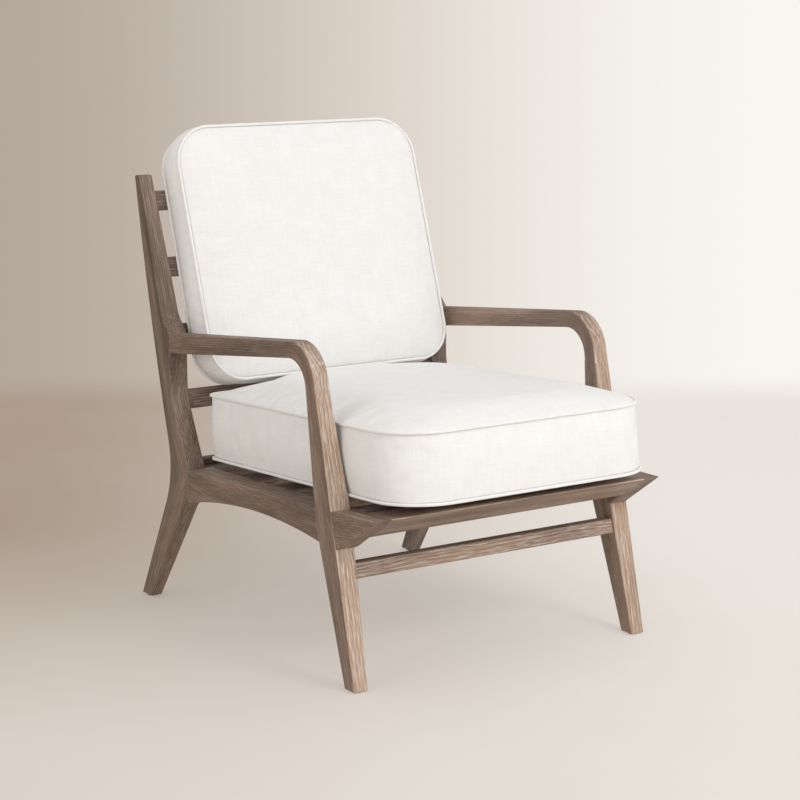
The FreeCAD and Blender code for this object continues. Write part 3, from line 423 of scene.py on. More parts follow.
@dataclass(frozen=True)
class LinenFinish:
    """Off-white linen: a plain weave with slubs, soft mottling, fine seams darkened with painted shade and a
    little sheen.
    """

    bright: Colour = (0.880, 0.876, 0.862, 1.0)
    shaded: Colour = (0.800, 0.790, 0.768, 1.0)
    # The colour of the painted shade in the crease beside each seam and welt
    seam: Colour = (0.560, 0.520, 0.470, 1.0)
    threads_per_metre: float = 1150.0
    weft_slub: Noise = Noise((26.0, 330.0, 1.0), 0.0, 3.0)
    warp_slub: Noise = Noise((330.0, 20.0, 1.0), 2.3, 3.0)
    mottle: Noise = Noise((30.0, 30.0, 1.0), 4.7, 4.0)
    slub_share: float = 0.7
    mottle_share: float = 0.3
    shaded_stop: float = 0.30
    bright_stop: float = 0.60
    weave_relief: float = 0.25
    groove: Fade = Fade(0.0, 0.0032, 1.0, 0.0)
    groove_painted_shade: float = 0.35
    groove_depth: float = 1.5
    bump: Pair = (0.35, 0.0004)

    def material(self, name: str, seed: float, seams: bool) -> bpy.types.Material:
        """Make the cloth of one cushion or welt.

        The weave is the product of two waves on the cloth's own coordinates. Slubs are noise drawn out
        along the weft and the warp, and each seam is a narrow dip along the seam lines, darkened with
        painted shade.

        Args:
            name: The material's name.
            seed: Which stretch of cloth this is.
            seams: Whether the piece has the seam distance as an attribute.

        Returns:
            The material.
        """
        material = bpy.data.materials.new(name)
        graph = ShaderGraph(material)
        cloth = graph.add("UVMap", uv_map=CLOTH_UV).outputs[0]
        axes = graph.add("SeparateXYZ", {0: cloth})
        turns = math.tau * self.threads_per_metre
        warp = graph.math("SINE", graph.times(axes.outputs["X"], turns))
        weft = graph.math("SINE", graph.times(axes.outputs["Y"], turns))
        along_weft = graph.noise(cloth, self.weft_slub, seed)
        along_warp = graph.noise(cloth, self.warp_slub, seed)
        mottle = graph.noise(cloth, self.mottle, seed)
        slubs = graph.times(graph.plus(along_weft, along_warp), 0.5)
        tone = graph.plus(graph.times(slubs, self.slub_share), graph.times(mottle, self.mottle_share))
        body = graph.ramp(tone, ((self.shaded_stop, self.shaded), (self.bright_stop, self.bright)))
        height = graph.plus(graph.times(graph.times(warp, weft), self.weave_relief), slubs)
        if seams:
            distance = graph.add("Attribute", attribute_name=SEAM_ATTRIBUTE).outputs["Fac"]
            # Beside the seams the cloth dips, a real groove, and is darkened there with painted shade
            groove = graph.fade(distance, self.groove)
            body = graph.mix(graph.times(groove, self.groove_painted_shade), body, self.seam)
            height = graph.math("SUBTRACT", height, graph.times(groove, self.groove_depth))
        gloss = {"Roughness": 0.92, "Sheen Weight": 0.12, "Sheen Roughness": 0.5, "Specular IOR Level": 0.2}
        graph.surface(body, height, self.bump, gloss)
        return material


@dataclass(frozen=True)
class FittingFinish:
    """A hidden fitting's own finish: two mottled tones, a roughness and how much of it is metal."""

    light: Colour
    dark: Colour
    roughness: float
    metal: float
    blotches: Triple
    stops: Pair = (0.3, 0.7)
    bump: Pair = (0.3, 0.0002)

    def material(self, name: str, seed: float) -> bpy.types.Material:
        """Make the fitting's material, a noise between its two tones with the same noise as fine relief.

        Args:
            name: The material's name.
            seed: Which stretch of the noise it shows.

        Returns:
            The material.
        """
        material = bpy.data.materials.new(name)
        graph = ShaderGraph(material)
        mottle = graph.noise(graph.add("TexCoord").outputs["Object"], Noise(self.blotches, detail=3.0), seed)
        body = graph.ramp(mottle, tuple(zip(self.stops, (self.dark, self.light))))
        graph.surface(body, mottle, self.bump, {"Roughness": self.roughness, "Metallic": self.metal})
        return material


# The finish of each kind of fitting, by the last word of its node's name: wood, steel and plastic
FITTINGS = {
    "dowels": FittingFinish(
        (0.62, 0.46, 0.31, 1.0), (0.47, 0.33, 0.21, 1.0), roughness=0.6, metal=0.0, blotches=(60, 260, 260)
    ),
    "screws": FittingFinish(
        (0.58, 0.57, 0.54, 1.0), (0.36, 0.35, 0.33, 1.0), roughness=0.35, metal=1.0, blotches=(400,) * 3
    ),
    "glides": FittingFinish(
        (0.06, 0.05, 0.043, 1.0), (0.03, 0.025, 0.022, 1.0), roughness=0.55, metal=0.0, blotches=(500,) * 3
    ),
}


def put_mesh(name: str, points: Array, quads: Array, corner_uv: Array) -> Object:
    """Make a smooth mesh object at the origin from arrays.

    Args:
        name: The piece's name.
        points: The places of its points, one row each.
        quads: The four point numbers of each face, anticlockwise seen from outside.
        corner_uv: The cloth coordinates of each face's four corners.

    Returns:
        The object, linked to the scene.
    """
    mesh = bpy.data.meshes.new(name)
    mesh.vertices.add(len(points))
    mesh.vertices.foreach_set("co", points.astype(np.float32).ravel())
    mesh.loops.add(quads.size)
    mesh.loops.foreach_set("vertex_index", quads.astype(np.int32).ravel())
    mesh.polygons.add(len(quads))
    mesh.polygons.foreach_set("loop_start", np.arange(0, quads.size, 4, dtype=np.int32))
    mesh.polygons.foreach_set("use_smooth", np.ones(len(quads), dtype=bool))
    mesh.update(calc_edges=True)
    layer = mesh.uv_layers.new(name=CLOTH_UV)
    layer.uv.foreach_set("vector", corner_uv.astype(np.float32).ravel())
    mesh.validate()
    piece = bpy.data.objects.new(name, mesh)
    bpy.context.scene.collection.objects.link(piece)
    return piece


def smooth_step(share: Array) -> Array:
    """Return a share held between 0 and 1 and eased at both ends: three squares less two cubes."""
    held = np.clip(share, 0.0, 1.0)
    return held * held * (3.0 - 2.0 * held)


def cells(grid: Array) -> Array:
    """Return the four corners of each cell of a grid, first along its row and then back along the next."""
    corners = [grid[:-1, :-1], grid[:-1, 1:], grid[1:, 1:], grid[1:, :-1]]
    return np.stack(corners, axis=2).reshape(-1, 4, *grid.shape[2:])


def seam_frame(seam: Array) -> tuple[Array, Array]:
    """Work out how a closed seam runs, from each point's two neighbours.

    Args:
        seam: The seam's points, anticlockwise.

    Returns:
        Each point's direction outwards, and the distance run to each point and at last back to the first.
    """
    forward = np.roll(seam, -1, axis=0) - np.roll(seam, 1, axis=0)
    outward = np.stack([forward[:, 1], -forward[:, 0]], axis=1)
    outward /= np.linalg.norm(outward, axis=1)[:, None]
    steps = np.linalg.norm(np.roll(seam, -1, axis=0) - seam, axis=1)
    return outward, np.concatenate([[0.0], np.cumsum(steps)])


@dataclass(frozen=True)
class Crown:
    """How a panel rises from its seam: its height, and how far in from the seam the rise ends."""

    height: float
    reach: float
    power: float = 0.55

    def rise(self, inward: Array) -> Array:
        """Return the rise so far from the seam: a quarter sine of that share of the reach to a power."""
        share = np.clip(inward / self.reach, 0.0, 1.0) ** self.power
        return self.height * np.sin(0.5 * math.pi * share)


@dataclass(frozen=True)
class Roll:
    """A soft swelling across a panel, where the other cushion presses beside it."""

    height: float
    along: float
    spread: float
    left: Pair
    right: Pair

    def rise(self, grid: Array) -> Array:
        """Return the roll's rise at points: a bell curve along the panel, faded in and out across it."""
        left, right = (smooth_step((grid[..., 0] - a) / (b - a)) for a, b in (self.left, self.right[::-1]))
        return self.height * left * right * np.exp(-0.5 * ((grid[..., 1] - self.along) / self.spread) ** 2)


@dataclass(frozen=True)
class Sewing:
    """How uneven a cushion is. Waves are in radians per metre, and shares are of what they change."""

    ripple: float = 0.015
    ripple_waves: Pair = (31.0, 27.0)
    swell_share: float = 0.2
    swell_wave: float = 19.0
    gather: float = 0.0005
    gather_reach: float = 0.012
    gather_wave: float = 260.0
    drift: float = 3.0
    drift_wave: float = 23.0
    welt_share: float = 0.03
    welt_wave: float = 97.0
    seam_dip: float = 0.3


@dataclass
class BoxCushion:
    """A firm box cushion: two crowned panels, a boxing strip between them and a welt in each seam.

    Its own frame has X across, Y along the panel and Z from the near seam to the far one.
    """

    name: str
    half_width: float
    low: float
    high: float
    low_radius: float
    high_radius: float
    boxing: float
    near: Crown
    far: Crown
    lift: Triple
    lean: float
    fill: float
    seed: float
    taper: float = 0.0
    bulge: float = 0.003
    fullness: float = 1.0
    near_inset: float = 0.0
    thinning: float = 0.0
    tuck: float = 0.0026
    welt_radius: float = 0.0029
    welt_cells: int = 14
    cells_across: int = 68
    cells_along: int = 74
    cells_deep: int = 14
    swell: float = 0.010
    softness: float = 0.0012
    roll: Roll | None = None
    zip_panel: bool = False
    zip_reach: float = 0.15
    far_cloth: float = 2.0
    boxing_cloth: float = 5.0
    sewing: Sewing = Sewing()

    def depth(self, along: Array) -> Array:
        """Return the boxing's depth at places along the cushion, thinned evenly from the low side up."""
        return self.boxing + self.thinning * (0.5 - (along - self.low) / (self.high - self.low))

    def outline(self, inset: float, taper: float) -> Array:
        """Return the seam's rounded rectangle, anticlockwise from the low left corner.

        Each of the four sides runs from the middle of one corner's arc to the middle of the next, with its
        points evenly spaced along half an arc, the straight and half an arc.

        Args:
            inset: How far inside the seam line the points lie.
            taper: How much further up the low side starts.

        Returns:
            The points, two numbers each.
        """
        half, low, high = self.half_width - inset, self.low + inset + taper, self.high - inset
        radii = [radius - inset for radius in (self.low_radius,) * 2 + (self.high_radius,) * 2]
        corners = np.array([(-half, low), (half, low), (half, high), (-half, high)])
        inward = np.array([(1, 1), (-1, 1), (-1, -1), (1, -1)])
        centres = corners + inward * np.array(radii)[:, None]
        sides = []
        for side, count in enumerate((self.cells_across, self.cells_along) * 2):
            following = (side + 1) % 4
            centre, radius = centres[side], radii[side]
            next_centre, next_radius = centres[following], radii[following]
            facing = math.pi / 2 * (side - 1)
            normal = np.array([math.cos(facing), math.sin(facing)])
            start, end = centre + radius * normal, next_centre + next_radius * normal
            first_arc, last_arc = radius * math.pi / 4, next_radius * math.pi / 4
            straight = float(np.linalg.norm(end - start))
            run = np.linspace(0, first_arc + straight + last_arc, count + 1)[:-1]
            turn_in = facing - (first_arc - np.minimum(run, first_arc)) / radius
            turn_out = facing + np.maximum(run - first_arc - straight, 0) / next_radius
            on_first = centre + radius * np.stack([np.cos(turn_in), np.sin(turn_in)], axis=1)
            on_last = next_centre + next_radius * np.stack([np.cos(turn_out), np.sin(turn_out)], axis=1)
            share = np.clip((run - first_arc) / max(straight, SMALLEST), 0, 1)[:, None]
            middle = start * (1 - share) + end * share
            points = np.where(run[:, None] < first_arc, on_first, middle)
            sides.append(np.where(run[:, None] > first_arc + straight, on_last, points))
        return np.concatenate(sides)

    def panel(self, seam: Array) -> Array:
        """Fill a seam with a grid of points by blending its four sides.

        Each point is the blend of the opposite sides in one direction, plus the blend in the other, minus
        the blend of the four corners.

        Args:
            seam: The closed run of points from outline().

        Returns:
            The grid, rows along the cushion, columns across it, two numbers each.
        """
        wide, long = self.cells_across, self.cells_along
        closed = np.vstack([seam, seam[:1]])
        low_side = closed[: wide + 1]
        right_side = closed[wide : wide + long + 1]
        high_side = closed[wide + long : 2 * wide + long + 1][::-1]
        left_side = closed[2 * wide + long :][::-1]
        u = np.linspace(0, 1, wide + 1)[None, :, None]
        v = np.linspace(0, 1, long + 1)[:, None, None]
        ruled = (1 - v) * low_side[None] + v * high_side[None]
        ruled = ruled + (1 - u) * left_side[:, None] + u * right_side[:, None]
        corners = (1 - v) * ((1 - u) * low_side[0] + u * low_side[-1])
        return ruled - corners - v * ((1 - u) * high_side[0] + u * high_side[-1])

    def inward(self) -> tuple[Array, Array]:
        """Work out each panel point's distance to the nearer side from its place in the grid.

        Returns:
            The distances across and along.
        """
        u = np.linspace(0, 1, self.cells_across + 1)[None]
        v = np.linspace(0, 1, self.cells_along + 1)[:, None]
        return np.minimum(u, 1 - u) * 2 * self.half_width, np.minimum(v, 1 - v) * (self.high - self.low)

    def crowned(self, grid: Array, crown: Crown) -> Array:
        """Raise a panel: the rise across times that along, over the crown's height, with a slight ripple.

        Args:
            grid: The panel's points.
            crown: The panel's crown.

        Returns:
            Each point's rise over the seam.
        """
        across, along = self.inward()
        rise = crown.rise(across) * crown.rise(along) / crown.height
        waves = np.sin(grid * self.sewing.ripple_waves + (self.seed, 2 * self.seed))
        return rise * (1.0 + self.sewing.ripple * (waves[..., 0] * waves[..., 1]))

    def numbers(self) -> tuple[Array, Array]:
        """Number a panel's points, row by row from the low side.

        Returns:
            The grid of numbers, and those round its edge in the order of outline().
        """
        wide, long = self.cells_across + 1, self.cells_along + 1
        grid = np.arange(wide * long).reshape(long, wide)
        return grid, np.concatenate([grid[0, :-1], grid[:-1, -1], grid[-1, :0:-1], grid[:0:-1, 0]])

    def strip(self, near_seam: Array, far_seam: Array) -> tuple[Array, Array]:
        """Work out the boxing between the seams, and how far it lies from a seam.

        Its rows go straight from seam to seam and swell outwards by half a sine to a power, with fine
        gathers beside the seams that fade exponentially.

        Args:
            near_seam: The near seam's points.
            far_seam: The far seam's points.

        Returns:
            The points and their distances to a seam.
        """
        outward, run = seam_frame(near_seam)
        sewing, place = self.sewing, run[:-1]
        rows = np.arange(1, self.cells_deep) / self.cells_deep
        depth = self.depth(far_seam[:, 1])[None]
        level = rows[:, None] * depth
        from_seam = np.minimum(level, depth - level)
        swell = self.bulge * (np.sin(math.pi * rows) ** self.fullness)[:, None]
        swell = swell * (1 + sewing.swell_share * np.sin(place * sewing.swell_wave + self.seed))
        folds = np.sin(place * sewing.gather_wave + sewing.drift * np.sin(place * sewing.drift_wave))
        gathers = sewing.gather * np.exp(-from_seam / sewing.gather_reach) * folds
        push = (swell + gathers)[..., None] * outward[None]
        flat = near_seam[None] * (1 - rows[:, None, None]) + far_seam[None] * rows[:, None, None]
        points = np.concatenate([flat + push, level[..., None]], axis=2).reshape(-1, 3)
        if self.zip_panel:
            from_seam = np.minimum(from_seam, self.zip_distance(run, level))
        return points, from_seam.ravel()

    def zip_distance(self, run: Array, level: Array) -> Array:
        """Return the boxing points' distance to the zip panel's seams.

        The panel runs along the low side, between a joining seam in each low corner, with the zip's
        placket along its middle.

        Args:
            run: The distances round the seam from seam_frame().
            level: The points' height over the near seam, rows by columns.

        Returns:
            The distances, rows by columns.
        """
        place = run[:-1]
        quarter = self.low_radius * math.pi / 4
        width = 2 * (self.half_width - self.low_radius) + 2 * quarter
        total = place[-1] + place[1]
        left_join, right_join = total - quarter * self.zip_reach, width + quarter * self.zip_reach
        to_joins = np.minimum(np.abs(place - left_join), np.abs(place - right_join))
        within = (place > left_join) | (place < right_join)
        to_placket = np.where(within[None], np.abs(level - self.boxing / 2), self.boxing)
        return np.minimum(to_joins[None], to_placket)

    def surface(self) -> tuple[Array, ...]:
        """Work out the closed cover: near panel, far panel and boxing share the points of the two seams.

        Returns:
            Points, faces, cloth coordinates of the faces' corners, and each point's distance to a seam.
        """
        near_seam = self.outline(self.tuck + self.near_inset, 0.0)
        far_seam = self.outline(self.tuck, self.taper)
        near_grid, far_grid = self.panel(near_seam), self.panel(far_seam)
        dip = self.welt_radius * self.sewing.seam_dip
        near_level = -self.crowned(near_grid, self.near) + dip
        far_level = self.depth(far_grid[..., 1]) + self.crowned(far_grid, self.far) - dip
        if self.roll:
            far_level += self.roll.rise(far_grid)
        grid, edge = self.numbers()
        near_level.ravel()[edge] = 0.0
        far_level.ravel()[edge] = self.depth(far_seam[:, 1])
        near_points = np.dstack([near_grid, near_level]).reshape(-1, 3)
        far_points = np.dstack([far_grid, far_level]).reshape(-1, 3)
        strip_points, strip_distance = self.strip(near_seam, far_seam)
        panel = cells(grid)
        strip = np.arange(len(strip_points)).reshape(-1, len(edge)) + 2 * grid.size
        strip = np.vstack([edge, strip, edge + grid.size])
        boxing = cells(np.hstack([strip, strip[:, :1]]))
        quads = np.vstack([panel[:, ::-1], panel + grid.size, boxing])
        flat = near_points[:, :2]
        heights = np.linspace(0, self.boxing, self.cells_deep + 1)
        wall = np.stack(np.meshgrid(seam_frame(near_seam)[1], heights), axis=-1)
        maps = [flat[panel[:, ::-1]], flat[panel] + self.far_cloth, cells(wall) + self.boxing_cloth]
        panel_distance = np.minimum(*self.inward()).ravel()
        distances = np.concatenate([panel_distance, panel_distance, strip_distance])
        return np.vstack([near_points, far_points, strip_points]), quads, np.concatenate(maps), distances

    def inflate(self, points: Array, quads: Array) -> Array:
        """Blow the cover up as cloth held at its seams, and cap how far any point moves.

        Args:
            points: The cover's points in its own frame.
            quads: Its faces.

        Returns:
            The moved points.
        """
        scene = bpy.context.scene
        trial = put_mesh(self.name + "_trial", points, quads, np.zeros((len(quads), 4, 2)))
        grid, edge = self.numbers()
        held = trial.vertex_groups.new(name="seams")
        held.add(np.concatenate([edge, edge + grid.size]).tolist(), 1.0, "REPLACE")
        cloth = trial.modifiers.new("cloth", "CLOTH")
        cloth.settings.vertex_group_mass = held.name
        for setting, value in CLOTH_SETTINGS.items():
            setattr(cloth.settings, setting, value)
        cloth.settings.effector_weights.gravity = 0.0
        cloth.point_cache.frame_start, cloth.point_cache.frame_end = 1, CLOTH_FRAMES
        for frame_number in range(1, CLOTH_FRAMES + 1):
            scene.frame_set(frame_number)
        evaluated = trial.evaluated_get(bpy.context.evaluated_depsgraph_get())
        moved = np.empty(len(points) * 3, dtype=np.float32)
        evaluated.data.vertices.foreach_get("co", moved)
        scene.frame_set(1)
        bpy.data.objects.remove(trial)
        shift = moved.reshape(-1, 3).astype(float) - points
        length = np.linalg.norm(shift, axis=1)[:, None]
        LOG.info("%s: cloth moved %.1f mm at most", self.name, 1000 * float(length.max()))
        capped = self.swell * np.tanh(length / self.swell)
        return points + shift * capped / np.maximum(length, SMALLEST)

    def settle(self, points: Array) -> Array:
        """Keep the panels within their crowns, so that the cushion stays clear of what holds it.

        A height eases into its limit: it loses the softness times the logarithm of one plus the
        exponential of how far it stands over the limit, in softnesses.

        Args:
            points: The cover's points in its own frame.

        Returns:
            The settled points.
        """
        low, high = -self.near.height, self.depth(points[:, 1]) + self.far.height
        settled = points.copy()
        over = np.logaddexp(0.0, (points[:, 2] - high) / self.softness)
        under = np.logaddexp(0.0, (low - points[:, 2]) / self.softness)
        settled[:, 2] += self.softness * (under - over)
        return settled

    def place(self, points: Array) -> Array:
        """Lean points about X and lift them from the cushion's own frame into the chair's."""
        c, s = math.cos(self.lean), math.sin(self.lean)
        return points @ np.array([[1, 0, 0], [0, c, -s], [0, s, c]]).T + np.array(self.lift)

    def cover(self) -> Object:
        """Build the cover as a closed mesh with one live subdivision, riding on the frame.

        Returns:
            The cover.
        """
        points, quads, corner_uv, seam_distance = self.surface()
        points = self.settle(self.inflate(points, quads))
        piece = put_mesh(self.name + "_linen", self.place(points), quads, corner_uv)
        attribute = piece.data.attributes.new(SEAM_ATTRIBUTE, "FLOAT", "POINT")
        attribute.data.foreach_set("value", seam_distance.astype(np.float32))
        finer = piece.modifiers.new("finer", "SUBSURF")
        finer.levels = finer.render_levels = 1
        piece.data.materials.append(LinenFinish().material(self.name + "_linen", self.seed, True))
        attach(piece, BODY)
        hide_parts(self.name + "_cover", self.name + "_core")
        return piece

    def welt(self, share: float, taper: float, inset: float) -> tuple[Array, ...]:
        """Carry a round, slightly uneven profile along one seam line, its cloth cut on the bias.

        Args:
            share: Where the seam lies, from 0 at the near seam to 1 at the far one.
            taper: How much further up its low side starts.
            inset: How far inside the cushion's outline it lies.

        Returns:
            Points, faces, and cloth coordinates of the faces' corners.
        """
        seam = self.outline(inset, taper)
        outward, run = seam_frame(seam)
        around = self.welt_cells
        angle = np.linspace(0, math.tau, around, endpoint=False)[None]
        wave = np.sin(run[:-1, None] * self.sewing.welt_wave + self.seed)
        radius = self.welt_radius * (1 - self.sewing.welt_share * (1 + wave))
        out = seam[:, None] + (radius * np.cos(angle))[..., None] * outward[:, None]
        lift = (share * self.depth(seam[:, 1]))[:, None] + radius * np.sin(angle)
        ring = np.concatenate([out, lift[..., None]], axis=2).reshape(-1, 3)
        closed = np.pad(np.arange(len(ring)).reshape(-1, around), ((0, 1), (0, 1)), "wrap")
        wrap = np.linspace(0, math.tau * self.welt_radius, around + 1)
        along, across = np.meshgrid(run, wrap, indexing="ij")
        bias = math.sqrt(0.5)
        uv = np.stack([(along + across) * bias, (across - along) * bias], axis=-1)
        flipped = [0, 3, 2, 1]
        return ring, cells(closed)[:, flipped], cells(uv)[:, flipped]

    def welts(self) -> Object:
        """Build the welts of both seams as one piece.

        Returns:
            The welts.
        """
        near = self.welt(0.0, 0.0, self.near_inset)
        far = self.welt(1.0, self.taper, 0.0)
        points = self.place(np.vstack([near[0], far[0]]))
        quads = np.vstack([near[1], far[1] + len(near[0])])
        piece = put_mesh(self.name + "_piping", points, quads, np.concatenate([near[2], far[2]]))
        finish = LinenFinish(bright=(0.890, 0.884, 0.868, 1.0))
        piece.data.materials.append(finish.material(self.name + "_piping", self.seed + 20.0, False))
        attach(piece, BODY)
        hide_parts(self.name + "_welts")
        return piece

    def build(self) -> None:
        """Build the cover and its welts, and report both."""
        for piece in (self.cover(), self.welts()):
            LOG.info("%s: %d faces", piece.name, len(piece.data.polygons))


@dataclass
class WoodFrame:
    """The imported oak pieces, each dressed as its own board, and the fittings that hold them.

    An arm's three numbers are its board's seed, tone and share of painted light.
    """

    nodes: dict[str, Object]
    left_arm: Triple = (5.3, 0.05, 1.4)
    right_arm: Triple = (11.9, 0.28, 0.9)
    arm_joint: float = 0.503
    arm_top: Plane = Plane(-0.104, -0.9945, 0.5725)
    leg_front: Plane = Plane(0.9733, -0.2297, 0.3343)
    post_foot: Plane = Plane(0.869, 0.4945, -0.3466)
    post_back: Plane = Plane(0.9607, -0.2776, -0.1605)

    def board(self, name: str, number: int) -> Board:
        """Return how a piece lies in its log, with its grain along the piece.

        An arm and its front leg are one bent board, cut from one place in its log.

        Args:
            name: The CAD node's name.
            number: The piece's place in the list, which sets its stretch of log.

        Returns:
            The board.
        """
        low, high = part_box(name)
        centre = tuple((a + b) / 2 for a, b in zip(low, high))
        swing = math.sin(2.4 * number)
        slope, seed = 0.02 + 0.02 * swing, 3.7 * number
        if name.endswith(("front_leg", "arm")):
            side = name.split("_")[0]
            low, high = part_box(f"{side}_arm")
            centre = ((low[0] + high[0]) / 2, 0.0, 0.0)
            seed, tone, painted_light = self.left_arm if side == "left" else self.right_arm
            bent = {"bend": (self.arm_top, self.leg_front), "corner": 0.07, "joint": self.arm_joint}
            return Board(centre, (0.050, 0.030), slope, seed, tone=tone, painted_light=painted_light, **bent)
        if name.endswith("rear_post"):
            bend = (self.post_foot, self.post_back)
            # Rear posts: a darker tone, painted shade where they stand behind the cushions, and little
            # painted light
            return Board(centre, (0.020, 0.050), slope, seed, tone=-0.12, painted_light=0.12, bend=bend)
        if name.endswith(("side_rail", "slat_cleat", "horn")):
            return Board(centre, (0.015, 0.080), slope, seed, turn=(0.0, 0.0, math.pi / 2), tone=0.12)
        # Each pair is a tone and a share of painted light. The other pieces, slats and rails under and
        # behind the cushions, get a darker tone as painted shade and little painted light.
        tones = {"front_rail": (0.3, 0.9), "front_stretcher": (0.0, 0.75)}
        tone, painted_light = tones.get(name, (-0.22, 0.15))
        pith = (0.070 + 0.01 * swing, 0.020 - 0.01 * swing)
        return Board(centre, pith, slope, seed, tone=tone, painted_light=painted_light)

    def build(self) -> None:
        """Dress every slot of every oak piece and fitting, and report each."""
        oak = OakFinish()
        for number, name in enumerate(sorted(self.nodes)):
            if name.endswith(("_cover", "_core", "_welts")):
                continue
            fitting = FITTINGS.get(name.split("_")[-1])
            if fitting:
                material = fitting.material(name, number)
            else:
                material = oak.material(name, self.board(name, number))
            for slot in self.nodes[name].material_slots:
                slot.material = material
            LOG.info("%s: dressed", name)


@dataclass(frozen=True)
class SoftLight:
    """A square soft light that faces the chair.

    Its azimuth round the chair and its elevation are in degrees, its power in watts.
    """

    name: str
    azimuth: float
    elevation: float
    distance: float
    size: float
    power: float
    colour: Triple


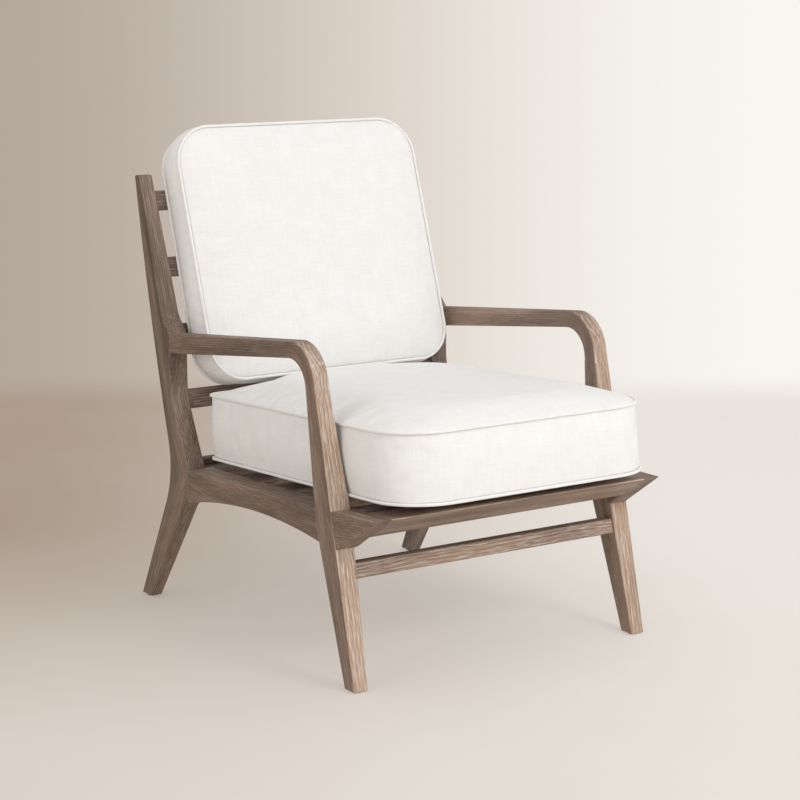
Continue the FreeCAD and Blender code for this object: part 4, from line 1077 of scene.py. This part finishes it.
@dataclass
class Studio:
    """A pale floor and a soft background, both with painted light, a large key light, a fill and the camera.
    """

    azimuth: float = math.radians(-34.1451)
    elevation: float = math.radians(10.8839)
    distance: float = 4.11737
    aim: Triple = (-0.0672447, -0.104, 0.4523945)
    focal_length: float = 100.909
    sensor_width: float = 36.0
    farthest: float = 60.0
    key: SoftLight = SoftLight("key", 10.0, 30.0, 3.6, 1.2, 34.0, (1.0, 1.0, 1.0))
    fill: SoftLight = SoftLight("fill", -80.0, 25.0, 4.0, 2.5, 23.0, (1.0, 0.97, 0.94))
    light_aim: Triple = (0.0, 0.0, 0.4)
    floor_size: float = 16.0
    # The floor's colour with painted light: darker to the camera's left, lighter towards the camera and to
    # its right
    floor_tone_and_painted_light: Stops = ((0.0, (0.46, 0.37, 0.30, 1.0)), (1.0, (0.89, 0.85, 0.80, 1.0)))
    floor_mottle: Noise = Noise((2.2, 2.2, 2.2), 4.0, 4.0)
    mottle_share: float = 0.12
    painted_light_nearward: Fade = Fade(0.8, -0.9, 0.0, 0.75)
    painted_light_rightward: Fade = Fade(-1.0, 0.7)
    floor_end: Fade = Fade(2.1, 2.7)
    nearward_painted_light: float = 0.75
    # The share of the floor that glows: painted light
    floor_painted_glow: float = 0.55
    # Painted light on the background: beige on the camera's left to nearly white on its right
    painted_backdrop_light: Stops = (
        (0.0, (0.46, 0.39, 0.335, 1.0)),
        (0.5, (0.72, 0.65, 0.58, 1.0)),
        (1.0, (0.94, 0.92, 0.88, 1.0)),
    )
    painted_backdrop_rightward: Fade = Fade(-0.19, 0.17)
    sky: Stops = ((0.0, (0.50, 0.475, 0.445, 1.0)), (1.0, (1.06, 1.055, 1.045, 1.0)))
    sky_strength: float = 0.84

    def towards(self, azimuth: float, elevation: float) -> Vector:
        """Return the direction from the chair to a place at that azimuth and elevation."""
        flat = math.cos(elevation)
        return Vector((math.sin(azimuth) * flat, -math.cos(azimuth) * flat, math.sin(elevation)))

    def floor_axes(self) -> tuple[Vector, Vector]:
        """Return the level directions away from the camera and to its right."""
        away = -self.towards(self.azimuth, 0.0)
        return away, Vector((away.y, -away.x, 0.0))

    def camera(self) -> None:
        """Make the camera at the photograph's place, looking at its aim."""
        back = self.towards(self.azimuth, self.elevation)
        lens = bpy.data.cameras.new("camera")
        lens.lens = self.focal_length
        lens.sensor_width = self.sensor_width
        lens.clip_end = self.farthest
        camera = bpy.data.objects.new("camera", lens)
        camera.location = Vector(self.aim) + back * self.distance
        camera.rotation_euler = (-back).to_track_quat("-Z", "Y").to_euler()
        bpy.context.scene.collection.objects.link(camera)
        bpy.context.scene.camera = camera

    def hang(self, light: SoftLight) -> None:
        """Hang a light, turned to the chair.

        Args:
            light: The light's place and strength.
        """
        toward = self.towards(math.radians(light.azimuth), math.radians(light.elevation))
        lamp = bpy.data.lights.new(light.name, "AREA")
        lamp.size = light.size
        lamp.energy = light.power
        lamp.color = light.colour
        holder = bpy.data.objects.new(light.name, lamp)
        holder.location = Vector(self.light_aim) + toward * light.distance
        holder.rotation_euler = (-toward).to_track_quat("-Z", "Y").to_euler()
        bpy.context.scene.collection.objects.link(holder)

    def floor(self) -> None:
        """Lay the floor, whose colour holds painted light, darker to the camera's left and lighter towards
        it, and which glows a little as painted light; it fades out into the background behind the chair.
        """
        corners = self.floor_size / 2 * np.array([(-1, -1, 0), (1, -1, 0), (1, 1, 0), (-1, 1, 0)])
        floor = put_mesh("floor", corners, np.array([[0, 1, 2, 3]]), corners[None, :, :2])
        material = bpy.data.materials.new("floor")
        graph = ShaderGraph(material)
        place = graph.add("TexCoord").outputs["Object"]
        away, right = self.floor_axes()
        # Painted light: the floor's tone rises to the camera's right and towards the camera
        depth = graph.dot(place, away)
        near = graph.fade(depth, self.painted_light_nearward)
        far = graph.fade(graph.dot(place, right), self.painted_light_rightward)
        far = graph.times(far, graph.math("SUBTRACT", 1.0, near))
        mottle = graph.noise(place, self.floor_mottle)
        blotches = graph.math("MULTIPLY_ADD", mottle, self.mottle_share, -self.mottle_share / 2)
        tone = graph.plus(graph.math("MULTIPLY_ADD", near, self.nearward_painted_light, far), blotches)
        body = graph.ramp(tone, self.floor_tone_and_painted_light)
        # Painted glow: part of the floor is an emission, painted light that lifts its shadows
        matt = graph.add("BsdfDiffuse", {"Color": body}).outputs[0]
        painted_glow = graph.add("Emission", {"Color": body}).outputs[0]
        shader = graph.add("MixShader", {0: self.floor_painted_glow, 1: matt, 2: painted_glow}).outputs[0]
        gone = graph.add("BsdfTransparent").outputs[0]
        ended = graph.add("MixShader", {0: graph.fade(depth, self.floor_end), 1: shader, 2: gone}).outputs[0]
        graph.add("OutputMaterial", {"Surface": ended})
        floor.data.materials.append(material)

    def world(self) -> None:
        """Paint the background with painted light, from beige on the left to nearly white on the right.

        The camera sees that. The objects are lit by a sky that is brightest on the open side: right, high
        and towards the camera.
        """
        world = bpy.data.worlds.new("studio")
        bpy.context.scene.world = world
        graph = ShaderGraph(world)
        direction = graph.add("TexCoord").outputs["Generated"]
        away, right = self.floor_axes()
        # Painted light on the background that the camera sees
        seen = graph.ramp(graph.fade(graph.dot(direction, right), self.painted_backdrop_rightward), self.painted_backdrop_light)
        view = graph.add("Background", {"Color": seen}).outputs[0]
        lit_side = (right - 0.7 * away + Vector((0.0, 0.0, 0.6))).normalized()
        ambient = graph.ramp(graph.fade(graph.dot(direction, lit_side), Fade(-1.0, 1.0)), self.sky)
        soft = graph.add("Background", {"Color": ambient, "Strength": self.sky_strength}).outputs[0]
        direct = graph.add("LightPath").outputs["Is Camera Ray"]
        shader = graph.add("MixShader", {0: direct, 1: soft, 2: view}).outputs[0]
        graph.add("OutputWorld", {"Surface": shader})

    def build(self) -> None:
        """Set the colour transform, camera, floor, background and lights."""
        bpy.context.scene.view_settings.view_transform = "Standard"
        self.camera()
        self.floor()
        self.world()
        self.hang(self.key)
        self.hang(self.fill)


def seat_cushion() -> BoxCushion:
    """Return the seat cushion, which reaches past the front rail."""
    return BoxCushion(
        name="seat_cushion",
        half_width=0.280,
        low=-0.4385,
        high=0.2365,
        low_radius=0.098,
        high_radius=0.025,
        boxing=0.122,
        near=Crown(0.0225, 0.195, 1.0),
        far=Crown(0.031, 0.215, 0.62),
        lift=(0.0, 0.0, 0.320089),
        lean=math.radians(-2.7),
        fill=0.9,
        seed=1.0,
        taper=0.011,
        cells_along=84,
        roll=Roll(height=0.012, along=0.186, spread=0.026, left=(-0.195, -0.085), right=(0.04, 0.20)),
    )


def back_cushion() -> BoxCushion:
    """Return the back cushion, which stands on the seat cushion and leans on the slats."""
    return BoxCushion(
        name="back_cushion",
        half_width=0.2725,
        low=0.0,
        high=0.497,
        low_radius=0.070,
        high_radius=0.078,
        boxing=0.072,
        near=Crown(0.0035, 0.018),
        far=Crown(0.028, 0.165, 0.62),
        lift=(0.0, 0.287762, 0.435913),
        lean=math.radians(72.555),
        fill=0.85,
        seed=5.0,
        cells_along=64,
        cells_deep=10,
        bulge=0.008,
        fullness=0.6,
        near_inset=0.002,
        thinning=0.0073,
        zip_panel=True,
    )


def main() -> None:
    """Build the studio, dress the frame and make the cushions."""
    logging.basicConfig(level=logging.INFO, format="%(message)s")
    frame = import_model()
    Studio().build()
    WoodFrame(frame["nodes"]).build()
    seat_cushion().build()
    back_cushion().build()


if __name__ == "__main__":
    main()
